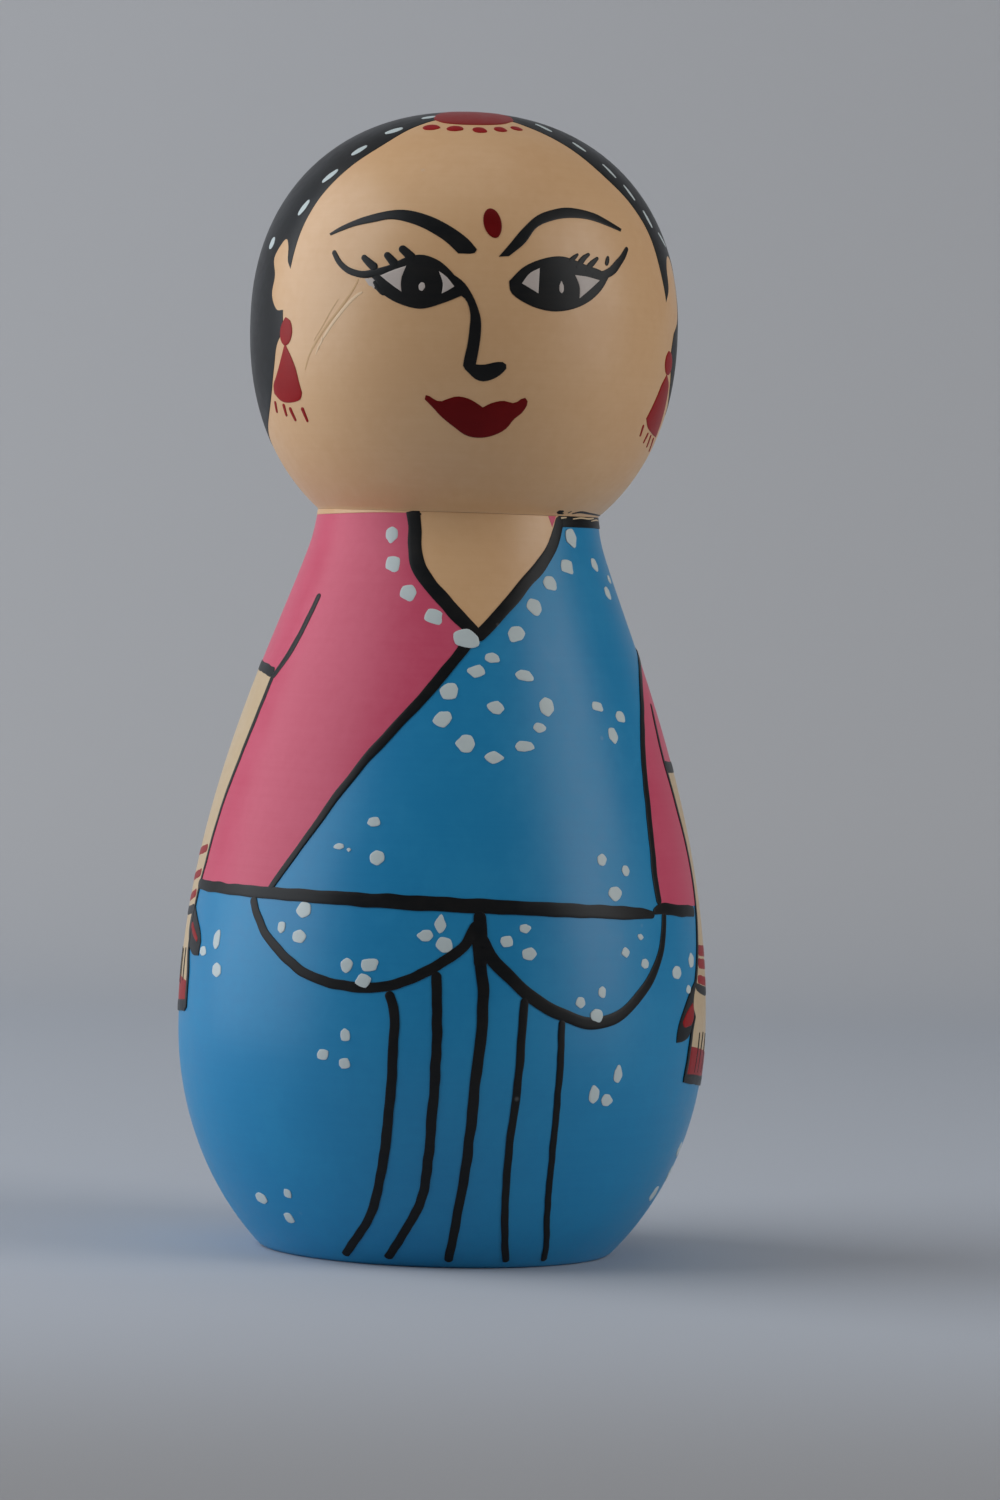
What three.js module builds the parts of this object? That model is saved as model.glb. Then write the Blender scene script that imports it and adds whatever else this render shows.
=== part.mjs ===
// A lathe-turned wooden doll in three pieces: a pear-shaped body, a round head, and the
// hardwood dowel that joins them. The dowel is glued into the body and the head turns on it.
//
// Millimetres, +Z up. The origin is the centre of the flat underside that the doll stands on.
// The doll's face looks along -Y, though the three turned pieces are the same all round.

import * as THREE from "three";

// --- Driving dimensions -------------------------------------------------------------------

// Body, from the underside to the flat shoulder that the head sits on.
const BODY_HEIGHT = 82.4;
const BELLY_RADIUS = 29.5;
const BELLY_HEIGHT = 25; // height of the widest ring
const FOOT_RADIUS = 19.6; // where the belly's curve meets the underside
const FOOT_EDGE = 0.35; // height of the rounded arris round the underside
const NECK_RADIUS = 15.6; // outer edge of the flat shoulder
const BELLY_SWEEP = 28; // how far the side stays upright above the belly
const NECK_SWEEP = 6.3; // how far the side stays upright below the shoulder
const CENTRE_MARK_RADIUS = 1.6; // cone left by the lathe's centre in the underside
const CENTRE_MARK_DEPTH = 1.4;

// Head, from its seat to the crown. Its outline is a slightly squared oval.
const HEAD_RADIUS = 23.85;
const CHIN_DROP = 20.5; // from the widest ring down to the seat
const CROWN_RISE = 24; // from the widest ring up to the crown
const HEAD_SQUARENESS = 2.2; // 2 is a true ellipse
const SEAT_LIP = 0.15; // how far the head's lower edge stands out past the shoulder

// Neck dowel and the blind holes that hold it.
const DOWEL_RADIUS = 5;
const DOWEL_IN_BODY = 18;
const DOWEL_IN_HEAD = 16;
const DOWEL_CHAMFER = 0.8;
const GLUE_LINE = 0.1; // radial, between dowel and body
const RUNNING_CLEARANCE = 0.1; // radial, between dowel and head
const HOLE_END_GAP = 1; // past each end of the dowel
const HOLE_MOUTH_CHAMFER = 0.6;
const SEAT_GAP = 0.15; // between the shoulder and the head

// Facets.
const AROUND = 64;
const FOOT_EDGE_STEPS = 4;
const BELLY_STEPS = 13;
const SIDE_STEPS = 20;
const CHIN_STEPS = 12;
const CROWN_STEPS = 14;

// --- Outlines -----------------------------------------------------------------------------

const seatHeight = BODY_HEIGHT + SEAT_GAP;

/** A point of an outline: distance from the axis, and height. */
const at = (radius, height) => new THREE.Vector2(radius, height);

/** Turns an outline about the vertical axis. It runs with the solid on its left. */
function turned(outline) {
  return new THREE.LatheGeometry(outline, AROUND).rotateX(Math.PI / 2);
}

/** The belly below its widest ring: part of an ellipse that would reach FOOT_RADIUS at height 0. */
const belly = {
  halfHeight: BELLY_HEIGHT / Math.sqrt(1 - (FOOT_RADIUS / BELLY_RADIUS) ** 2),
  /** Share of the ellipse's half height that a height lies below its widest ring. */
  fall: (z) => (BELLY_HEIGHT - z) / belly.halfHeight,
  radius: (z) => BELLY_RADIUS * Math.sqrt(1 - belly.fall(z) ** 2),
  /** How fast the radius grows with height. */
  flare: (z) => (BELLY_RADIUS ** 2 / belly.halfHeight) * (belly.fall(z) / belly.radius(z)),
};

/** The rounding between the underside and the belly, which it meets with no corner. */
function footEdgePoints() {
  const turn = Math.atan2(1, belly.flare(FOOT_EDGE));
  const radius = FOOT_EDGE / (1 - Math.cos(turn));
  const flat = belly.radius(FOOT_EDGE) - radius * Math.sin(turn);
  const points = [];
  for (let i = 0; i < FOOT_EDGE_STEPS; i++) {
    const angle = turn * (i / FOOT_EDGE_STEPS);
    points.push(at(flat + radius * Math.sin(angle), radius * (1 - Math.cos(angle))));
  }
  return points;
}

/** The belly from the foot's rounding up, in steps that are even in angle. */
function bellyPoints() {
  const lowest = Math.asin(belly.fall(FOOT_EDGE));
  const points = [];
  for (let i = 0; i <= BELLY_STEPS; i++) {
    const z = BELLY_HEIGHT - belly.halfHeight * Math.sin(lowest * (1 - i / BELLY_STEPS));
    points.push(at(belly.radius(z), z));
  }
  return points;
}

/** The side from the belly to the shoulder: upright at both ends, with one sweep between. */
function sidePoints() {
  const side = new THREE.CubicBezierCurve(
    at(BELLY_RADIUS, BELLY_HEIGHT),
    at(BELLY_RADIUS, BELLY_HEIGHT + BELLY_SWEEP),
    at(NECK_RADIUS, BODY_HEIGHT - NECK_SWEEP),
    at(NECK_RADIUS, BODY_HEIGHT),
  );
  return side.getSpacedPoints(SIDE_STEPS).slice(1);
}

/** A blind hole's wall, from its chamfered mouth at height `mouth` to its end, `depth` away. */
function holePoints(radius, mouth, depth) {
  const inward = Math.sign(depth);
  return [
    at(radius + HOLE_MOUTH_CHAMFER, mouth),
    at(radius, mouth + inward * HOLE_MOUTH_CHAMFER),
    at(radius, mouth + depth),
    at(0, mouth + depth),
  ];
}

/** The outside of the head from its seat to the crown, as a squared oval. */
function headPoints() {
  const oval = 1 / HEAD_SQUARENESS;
  const seatRadius = NECK_RADIUS + SEAT_LIP;
  const fullDrop = CHIN_DROP / (1 - (seatRadius / HEAD_RADIUS) ** HEAD_SQUARENESS) ** oval;
  const equator = seatHeight + CHIN_DROP;
  const radiusAt = (rise, reach) =>
    HEAD_RADIUS * (1 - Math.min(1, Math.abs(rise) / reach) ** HEAD_SQUARENESS) ** oval;
  const points = [];
  for (let i = 0; i < CHIN_STEPS; i++) {
    const drop = CHIN_DROP * Math.cos((Math.PI / 2) * (i / CHIN_STEPS));
    points.push(at(radiusAt(drop, fullDrop), equator - drop));
  }
  for (let i = 0; i < CROWN_STEPS; i++) {
    const rise = CROWN_RISE * Math.sin((Math.PI / 2) * (i / CROWN_STEPS));
    points.push(at(radiusAt(rise, CROWN_RISE), equator + rise));
  }
  points.push(at(0, equator + CROWN_RISE));
  return points;
}

// --- Pieces -------------------------------------------------------------------------------

/** The body: centre mark, underside, rounded foot, belly, side, shoulder and dowel hole. */
function bodyGeometry() {
  const hole = holePoints(DOWEL_RADIUS + GLUE_LINE, BODY_HEIGHT, -(DOWEL_IN_BODY + HOLE_END_GAP));
  return turned([
    at(0, CENTRE_MARK_DEPTH),
    at(CENTRE_MARK_RADIUS, 0),
    ...footEdgePoints(),
    ...bellyPoints(),
    ...sidePoints(),
    ...hole,
  ]);
}

/** The head: its dowel hole first, from the inner end down, then the seat and the outside. */
function headGeometry() {
  const hole = holePoints(DOWEL_RADIUS + RUNNING_CLEARANCE, seatHeight, DOWEL_IN_HEAD + HOLE_END_GAP);
  return turned([...hole.reverse(), ...headPoints()]);
}

/** The dowel, chamfered at both ends. */
function dowelGeometry() {
  const foot = BODY_HEIGHT - DOWEL_IN_BODY;
  const top = seatHeight + DOWEL_IN_HEAD;
  return turned([
    at(0, foot),
    at(DOWEL_RADIUS - DOWEL_CHAMFER, foot),
    at(DOWEL_RADIUS, foot + DOWEL_CHAMFER),
    at(DOWEL_RADIUS, top - DOWEL_CHAMFER),
    at(DOWEL_RADIUS - DOWEL_CHAMFER, top),
    at(0, top),
  ]);
}

// --- Finishes -----------------------------------------------------------------------------

const blueLacquer = new THREE.MeshStandardMaterial({ color: 0x2f7fb8, roughness: 0.38, metalness: 0 });
const creamLacquer = new THREE.MeshStandardMaterial({ color: 0xdcb98c, roughness: 0.38, metalness: 0 });
const bareWood = new THREE.MeshStandardMaterial({ color: 0xc9a779, roughness: 0.75, metalness: 0 });

/** A named piece of the doll. */
function piece(name, geometry, material) {
  const mesh = new THREE.Mesh(geometry, material);
  mesh.name = name;
  return mesh;
}

const doll = new THREE.Group();
doll.add(piece("body", bodyGeometry(), blueLacquer));
doll.add(piece("neck_dowel", dowelGeometry(), bareWood));
doll.add(piece("head", headGeometry(), creamLacquer));

export default doll;
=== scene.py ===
"""A turned wooden doll in three pieces, with its clothes, face and jewellery painted on.

The head and the body are turned again here with a smooth outline, around the outline that the
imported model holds. Each painted shape is a thin closed skin of paint that lies on the turning it
was brushed on, so the hair, the face and the earrings go round with the head.

Design units are millimetres and degrees. A place on a turning is (angle, height): the angle goes
round from the doll's nose towards the viewer's right, and the height is above the turning's foot.
"""

import logging
import math
from abc import ABC, abstractmethod
from dataclasses import dataclass
from enum import Enum

import bpy
import numpy as np
from mathutils import Matrix, Vector
from mathutils.geometry import delaunay_2d_cdt


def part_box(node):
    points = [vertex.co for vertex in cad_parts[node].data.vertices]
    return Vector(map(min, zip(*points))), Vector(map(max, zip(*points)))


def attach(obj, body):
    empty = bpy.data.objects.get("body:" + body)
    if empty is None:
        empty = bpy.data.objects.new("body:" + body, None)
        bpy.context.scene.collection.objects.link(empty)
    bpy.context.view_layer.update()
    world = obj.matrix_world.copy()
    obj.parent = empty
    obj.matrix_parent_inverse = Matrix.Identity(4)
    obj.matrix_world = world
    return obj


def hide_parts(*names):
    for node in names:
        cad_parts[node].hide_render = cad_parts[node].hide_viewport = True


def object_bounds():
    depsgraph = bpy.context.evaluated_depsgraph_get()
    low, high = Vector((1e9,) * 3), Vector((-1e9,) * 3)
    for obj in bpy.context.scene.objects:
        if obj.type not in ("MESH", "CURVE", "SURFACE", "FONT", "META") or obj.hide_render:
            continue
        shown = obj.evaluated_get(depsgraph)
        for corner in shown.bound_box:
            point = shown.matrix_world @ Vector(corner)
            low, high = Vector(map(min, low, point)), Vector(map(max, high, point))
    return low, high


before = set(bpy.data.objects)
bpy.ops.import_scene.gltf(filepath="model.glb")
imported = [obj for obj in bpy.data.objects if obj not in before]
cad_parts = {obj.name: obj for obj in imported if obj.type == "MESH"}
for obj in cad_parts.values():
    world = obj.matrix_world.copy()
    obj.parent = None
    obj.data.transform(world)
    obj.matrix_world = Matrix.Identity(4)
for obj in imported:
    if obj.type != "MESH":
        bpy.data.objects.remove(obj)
cad_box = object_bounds()

log = logging.getLogger("doll")

Place = tuple[float, float]
Colour = tuple[float, float, float]
Faces = list[tuple[int, ...]]

MM = 0.001
TURN = 2 * math.pi
TINY = 1e-6
CREASE_ANGLE = 38  # degrees between two faces, from which the edge between them stays sharp
SINK = -0.03  # how far a skin of paint reaches into the wood, so that no gap shows


# --- Curves -------------------------------------------------------------------------------------


def smooth_curve(points: np.ndarray, step: float, samples: int = 14) -> np.ndarray:
    """Runs a centripetal Catmull-Rom curve through the points, at an even step.

    Args:
        points: One row for each point. The first two columns are its place, and any others,
            such as a width, go along with it.
        step: The distance between the rows of the result, at most.
        samples: Points worked out between two neighbours before they are spaced evenly.

    Returns:
        The curve's points, with the columns of the input.
    """
    knots = np.vstack([2 * points[0] - points[1], points, 2 * points[-1] - points[-2]])
    parts = []
    for a, b, c, d in zip(knots, knots[1:], knots[2:], knots[3:]):
        gaps = [max(np.linalg.norm((q - p)[:2]), TINY) ** 0.5 for p, q in ((a, b), (b, c), (c, d))]
        t0, t1, t2, t3 = np.cumsum([0.0, *gaps])
        t = np.linspace(t1, t2, samples, endpoint=False)[:, None]
        ab = ((t1 - t) * a + (t - t0) * b) / (t1 - t0)
        bc = ((t2 - t) * b + (t - t1) * c) / (t2 - t1)
        cd = ((t3 - t) * c + (t - t2) * d) / (t3 - t2)
        left = ((t2 - t) * ab + (t - t0) * bc) / (t2 - t0)
        right = ((t3 - t) * bc + (t - t1) * cd) / (t3 - t1)
        parts.append(((t2 - t) * left + (t - t1) * right) / (t2 - t1))
    dense = np.vstack([*parts, points[-1:]])
    length = run_lengths(dense)
    stations = np.linspace(0, length[-1], max(2, math.ceil(length[-1] / step) + 1))
    return np.stack([np.interp(stations, length, column) for column in dense.T], axis=1)


def run_lengths(points: np.ndarray) -> np.ndarray:
    """Returns how far along a line of points each one lies."""
    return np.concatenate([[0.0], np.cumsum(np.linalg.norm(np.diff(points[:, :2], axis=0), axis=1))])


class Wobble:
    """The small unsteadiness of a hand, the same on each run."""

    WAVES = 4
    SHORTEST = 2.0
    LONGEST = 9.0
    SPREAD = 2.5  # what the waves' sum is divided by

    def __init__(self, seed: int) -> None:
        """Draws the length and the start of each wave.

        Args:
            seed: The number that the draw starts from.
        """
        draw = np.random.default_rng(seed)
        self.lengths = draw.uniform(self.SHORTEST, self.LONGEST, self.WAVES)
        self.starts = draw.uniform(0, TURN, self.WAVES)

    def at(self, stations: np.ndarray) -> np.ndarray:
        """Returns a value near -1 to 1 for each distance along a line."""
        waves = np.sin(TURN * stations[:, None] / self.lengths + self.starts)
        return waves.sum(axis=1) / self.SPREAD


# --- The turnings as surfaces -------------------------------------------------------------------


@dataclass(frozen=True)
class DowelSize:
    """The neck dowel's size, read from its CAD node."""

    radius: float
    top: float

    @classmethod
    def read(cls, node: str = "neck_dowel") -> "DowelSize":
        """Returns the size of a dowel from its node's box."""
        low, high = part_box(node)
        return cls(radius=(high.x - low.x) / 2 / MM, top=high.z / MM)


def outline_of(node: str) -> np.ndarray:
    """Reads the outline of a turning from the half plane through its +X side.

    Args:
        node: The CAD node's name.

    Returns:
        The outline's corners in order, from one end on the axis to the other, as (radius,
        height).
    """
    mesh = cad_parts[node].data
    corners: dict[int, Place] = {}
    for vertex in mesh.vertices:
        if abs(vertex.co.y) < TINY and vertex.co.x > -TINY:
            corners[vertex.index] = (round(vertex.co.x / MM, 3), round(vertex.co.z / MM, 3))
    links: dict[Place, set[Place]] = {}
    for edge in mesh.edges:
        if all(index in corners for index in edge.vertices):
            a, b = (corners[index] for index in edge.vertices)
            if a != b:
                links.setdefault(a, set()).add(b)
                links.setdefault(b, set()).add(a)
    here = min(place for place in links if place[0] == 0)
    chain = [here]
    while links[here] - set(chain):
        here = (links[here] - set(chain)).pop()
        chain.append(here)
    return np.array(chain)


class TurnedSurface:
    """The outside of one turning, where its paint lies."""

    OUTLINE_STEP = 0.4
    AROUND = 176  # faces round the axis
    HOLE_REACH = 2  # dowel radii within which a corner belongs to the dowel hole
    HOLE_END = 2  # mm above the dowel, up to which that holds

    def __init__(self, node: str, dowel: DowelSize) -> None:
        """Reads the outline of a node and smooths its outside.

        Args:
            node: The CAD node's name.
            dowel: The dowel, whose hole isn't part of the outside.
        """
        chain = outline_of(node)
        outer = (chain[:, 0] > self.HOLE_REACH * dowel.radius) | (chain[:, 1] > dowel.top + self.HOLE_END)
        first, last = np.flatnonzero(outer)[[0, -1]]
        if chain[first, 1] > chain[last, 1]:
            chain = chain[::-1]
            first, last = len(chain) - 1 - last, len(chain) - 1 - first
        curve = smooth_curve(chain[first : last + 1], self.OUTLINE_STEP)
        self.radii = curve[:, 0]
        self.heights = curve[:, 1]
        self.arcs = run_lengths(curve)
        self.foot = float(self.heights[0])
        self.before = chain[:first]
        self.after = chain[last + 1 :]

    def arc(self, heights: np.ndarray) -> np.ndarray:
        """Returns how far up the outline lies each height above the turning's foot."""
        return np.interp(heights + self.foot, self.heights, self.arcs)

    def radius(self, arcs: np.ndarray) -> np.ndarray:
        """Returns the radius at each distance up the outline."""
        return np.interp(arcs, self.arcs, self.radii)

    def place(self, angles: np.ndarray, arcs: np.ndarray, lifts: np.ndarray) -> np.ndarray:
        """Puts points on the turning.

        Args:
            angles: Radians round from the nose.
            arcs: Distances up the outline.
            lifts: Heights above the wood.

        Returns:
            The points in metres.
        """
        slope_r = np.interp(arcs, self.arcs, np.gradient(self.radii, self.arcs))
        slope_z = np.interp(arcs, self.arcs, np.gradient(self.heights, self.arcs))
        out = self.radius(arcs) + lifts * slope_z
        up = np.interp(arcs, self.arcs, self.heights) - lifts * slope_r
        return np.stack([out * np.sin(angles), -out * np.cos(angles), up], axis=1) * MM

    def turn(self, name: str, lip: tuple[Place, ...] = ()) -> bpy.types.Object:
        """Turns the whole piece, with its dowel hole, round the axis.

        Args:
            name: The new piece's name.
            lip: More corners of the outline, as (radius, height), just before the outside starts.

        Returns:
            The piece.
        """
        outer = np.stack([self.radii, self.heights], axis=1)
        outline = np.vstack([self.before, np.array(lip).reshape(-1, 2), outer, self.after])
        turns = np.linspace(0, TURN, self.AROUND, endpoint=False)
        points: list[np.ndarray] = []
        rings: list[list[int]] = []
        for radius, height in outline:
            start = len(points)
            if radius < TINY:
                points.append(np.array([0.0, 0.0, height]))
                rings.append([start] * self.AROUND)
                continue
            points.extend(np.array([radius * math.sin(t), -radius * math.cos(t), height]) for t in turns)
            rings.append(list(range(start, start + self.AROUND)))
        faces: Faces = []
        for low, high in zip(rings, rings[1:]):
            for i in range(self.AROUND):
                j = (i + 1) % self.AROUND
                corners = dict.fromkeys((low[i], low[j], high[j], high[i]))
                faces.append(tuple(corners))
        return new_piece(name, np.array(points) * MM, faces)


def new_piece(name: str, points: np.ndarray, faces: Faces) -> bpy.types.Object:
    """Makes one piece, shaded smooth with its corners kept.

    Args:
        name: The piece's name.
        points: Its points in metres.
        faces: The corners of each face, which look outwards.

    Returns:
        The piece.
    """
    mesh = bpy.data.meshes.new(name)
    mesh.from_pydata(points.tolist(), [], faces)
    mesh.validate()
    mesh.shade_smooth()
    mesh.set_sharp_from_angle(angle=math.radians(CREASE_ANGLE))
    piece = bpy.data.objects.new(name, mesh)
    bpy.context.scene.collection.objects.link(piece)
    return piece


# --- Charts: a turning's skin laid flat ---------------------------------------------------------


class Chart(ABC):
    """A flat drawing of part of a turning, in millimetres."""

    def __init__(self, surface: TurnedSurface) -> None:
        """Keeps the surface that the chart draws."""
        self.surface = surface

    @abstractmethod
    def draw(self, places: np.ndarray) -> np.ndarray:
        """Returns the flat places of rows of (angle, height)."""

    @abstractmethod
    def wrap(self, flat: np.ndarray) -> tuple[np.ndarray, np.ndarray]:
        """Returns the angles in radians and the arcs of flat places."""


class SideChart(Chart):
    """The side of a turning unrolled like a label."""

    def __init__(self, surface: TurnedSurface, places: np.ndarray) -> None:
        """Unrolls the side at the middle of some places, where its widths are true.

        Args:
            surface: The turning.
            places: Rows of (angle, height) that the chart is for.
        """
        super().__init__(surface)
        middle = surface.arc(places[:, 1].min() / 2 + places[:, 1].max() / 2)
        self.scale = float(surface.radius(middle))

    def draw(self, places: np.ndarray) -> np.ndarray:
        """Returns the flat places of rows of (angle, height)."""
        return np.stack([np.radians(places[:, 0]) * self.scale, self.surface.arc(places[:, 1])], axis=1)

    def wrap(self, flat: np.ndarray) -> tuple[np.ndarray, np.ndarray]:
        """Returns the angles in radians and the arcs of flat places."""
        return flat[:, 0] / self.scale, flat[:, 1]


class CrownChart(Chart):
    """The top of a turning seen from above, pressed flat."""

    def draw(self, places: np.ndarray) -> np.ndarray:
        """Returns the flat places of rows of (angle, height)."""
        reach = self.surface.arcs[-1] - self.surface.arc(places[:, 1])
        turns = np.radians(places[:, 0])
        return np.stack([reach * np.sin(turns), -reach * np.cos(turns)], axis=1)

    def wrap(self, flat: np.ndarray) -> tuple[np.ndarray, np.ndarray]:
        """Returns the angles in radians and the arcs of flat places."""
        return np.arctan2(flat[:, 0], -flat[:, 1]), self.surface.arcs[-1] - np.hypot(flat[:, 0], flat[:, 1])


# --- Filling an outline -------------------------------------------------------------------------

BLOCK = 2000  # points measured at a time
RIM_ROWS = (0.22, 0.55, 1.0)  # where the rows of points along a rim lie, as shares of its width
ROW_ROOM = 0.93  # share of its own depth that a row's point keeps from the whole outline
MIDDLE_ROOM = 0.45  # share of the spacing left between the rim and the points inside


def edge_distance(points: np.ndarray, outline: np.ndarray) -> np.ndarray:
    """Measures each point's distance to a closed outline.

    Args:
        points: Flat points.
        outline: The outline's corners in order.

    Returns:
        The distances.
    """
    ends = np.roll(outline, -1, axis=0)
    sides = ends - outline
    lengths = np.maximum((sides**2).sum(axis=1), 1e-12)
    best = np.full(len(points), np.inf)
    for start in range(0, len(points), BLOCK):
        block = points[start : start + BLOCK, None, :] - outline
        share = np.clip((block * sides).sum(axis=2) / lengths, 0, 1)
        apart = block - share[:, :, None] * sides
        best[start : start + BLOCK] = np.sqrt((apart**2).sum(axis=2).min(axis=1))
    return best


def inside(points: np.ndarray, outline: np.ndarray) -> np.ndarray:
    """Finds which points lie inside a closed outline.

    Args:
        points: Flat points.
        outline: The outline's corners in order.

    Returns:
        True for each point inside.
    """
    ends = np.roll(outline, -1, axis=0)
    held = np.zeros(len(points), bool)
    for (x0, y0), (x1, y1) in zip(outline, ends):
        if y0 == y1:
            continue
        spans = (points[:, 1] > y0) != (points[:, 1] > y1)
        held ^= spans & (points[:, 0] < x0 + (points[:, 1] - y0) * (x1 - x0) / (y1 - y0))
    return held


def fill_outline(outline: np.ndarray, rim: float, spacing: float) -> tuple[np.ndarray, np.ndarray]:
    """Fills a closed outline with even triangles and extra rows of points along its rim.

    Args:
        outline: The flat outline.
        rim: How wide the rounded rim is.
        spacing: The distance between points inside.

    Returns:
        The flat points, and the triangles, which turn the same way as the axes.
    """
    ahead = np.roll(outline, -1, axis=0)
    if (outline[:, 0] * ahead[:, 1] - ahead[:, 0] * outline[:, 1]).sum() < 0:
        outline = outline[::-1]
    along = np.roll(outline, -1, axis=0) - np.roll(outline, 1, axis=0)
    along /= np.maximum(np.linalg.norm(along, axis=1, keepdims=True), 1e-9)
    inward = np.stack([-along[:, 1], along[:, 0]], axis=1)
    rows = [outline]
    for share in RIM_ROWS:
        row = outline + inward * rim * share
        clear = edge_distance(row, outline) > ROW_ROOM * rim * share
        rows.append(row[clear & inside(row, outline)])
    low = outline.min(axis=0)
    high = outline.max(axis=0)
    grid = []
    for i, y in enumerate(np.arange(low[1], high[1], spacing * math.sqrt(0.75))):
        x = np.arange(low[0] + (i % 2) * spacing / 2, high[0], spacing)
        grid.append(np.stack([x, np.full_like(x, y)], axis=1))
    middle = np.vstack(grid)
    middle = middle[inside(middle, outline)]
    middle = middle[edge_distance(middle, outline) > rim + MIDDLE_ROOM * spacing]
    points = np.vstack([*rows, middle])
    count = len(outline)
    edges = [(i, (i + 1) % count) for i in range(count)]
    made = delaunay_2d_cdt([Vector(p) for p in points], edges, [], 1, TINY)
    flat = np.array([tuple(v) for v in made[0]])
    triangles = np.array([tuple(face) for face in made[2]])
    a, b, c = flat[triangles[:, 0]], flat[triangles[:, 1]], flat[triangles[:, 2]]
    turned = (b - a)[:, 0] * (c - a)[:, 1] - (b - a)[:, 1] * (c - a)[:, 0]
    triangles = triangles[np.abs(turned) > 1e-9]
    turned = turned[np.abs(turned) > 1e-9]
    triangles[turned < 0] = triangles[turned < 0][:, ::-1]
    return flat, triangles


# --- Paint --------------------------------------------------------------------------------------


class Coat(Enum):
    """Which coat a painted shape belongs to. Its value is the height it starts from, in mm."""

    GROUND = 0.01
    SECOND = 0.045
    LINE = 0.08
    DETAIL = 0.115


@dataclass(frozen=True)
class Load:
    """How much paint the brush leaves."""

    thickness: float
    rim: float


THIN = Load(thickness=0.03, rim=0.2)
FULL = Load(thickness=0.035, rim=0.35)
WASH = Load(thickness=0.02, rim=0.2)


@dataclass(frozen=True)
class Stroke:
    """One stroke of the brush, along a smooth line through its places."""

    places: tuple[Place, ...]
    widths: tuple[float, ...]
    unsteady: float = 0.04
    square_start: bool = False

    def rows(self) -> np.ndarray:
        """Returns (angle, height, width) for each place, with the widths spread along them."""
        along = np.linspace(0, 1, len(self.places))
        given = np.linspace(0, 1, len(self.widths))
        return np.column_stack([np.array(self.places, float), np.interp(along, given, self.widths)])


@dataclass(frozen=True)
class Dot:
    """One touch of a loaded brush, round with a single drawn-out corner."""

    angle: float
    height: float
    wide: float
    tall: float
    corner: float = 270.0  # where the brush left it: 0 is the viewer's right and 90 is up
    drawn: float = 0.28  # how far the corner is drawn out
    faceted: float = 0.56  # how much the dot is a polygon, up to 1
    tilt: float = 0.0  # degrees that the whole dot leans to the viewer's left


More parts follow.
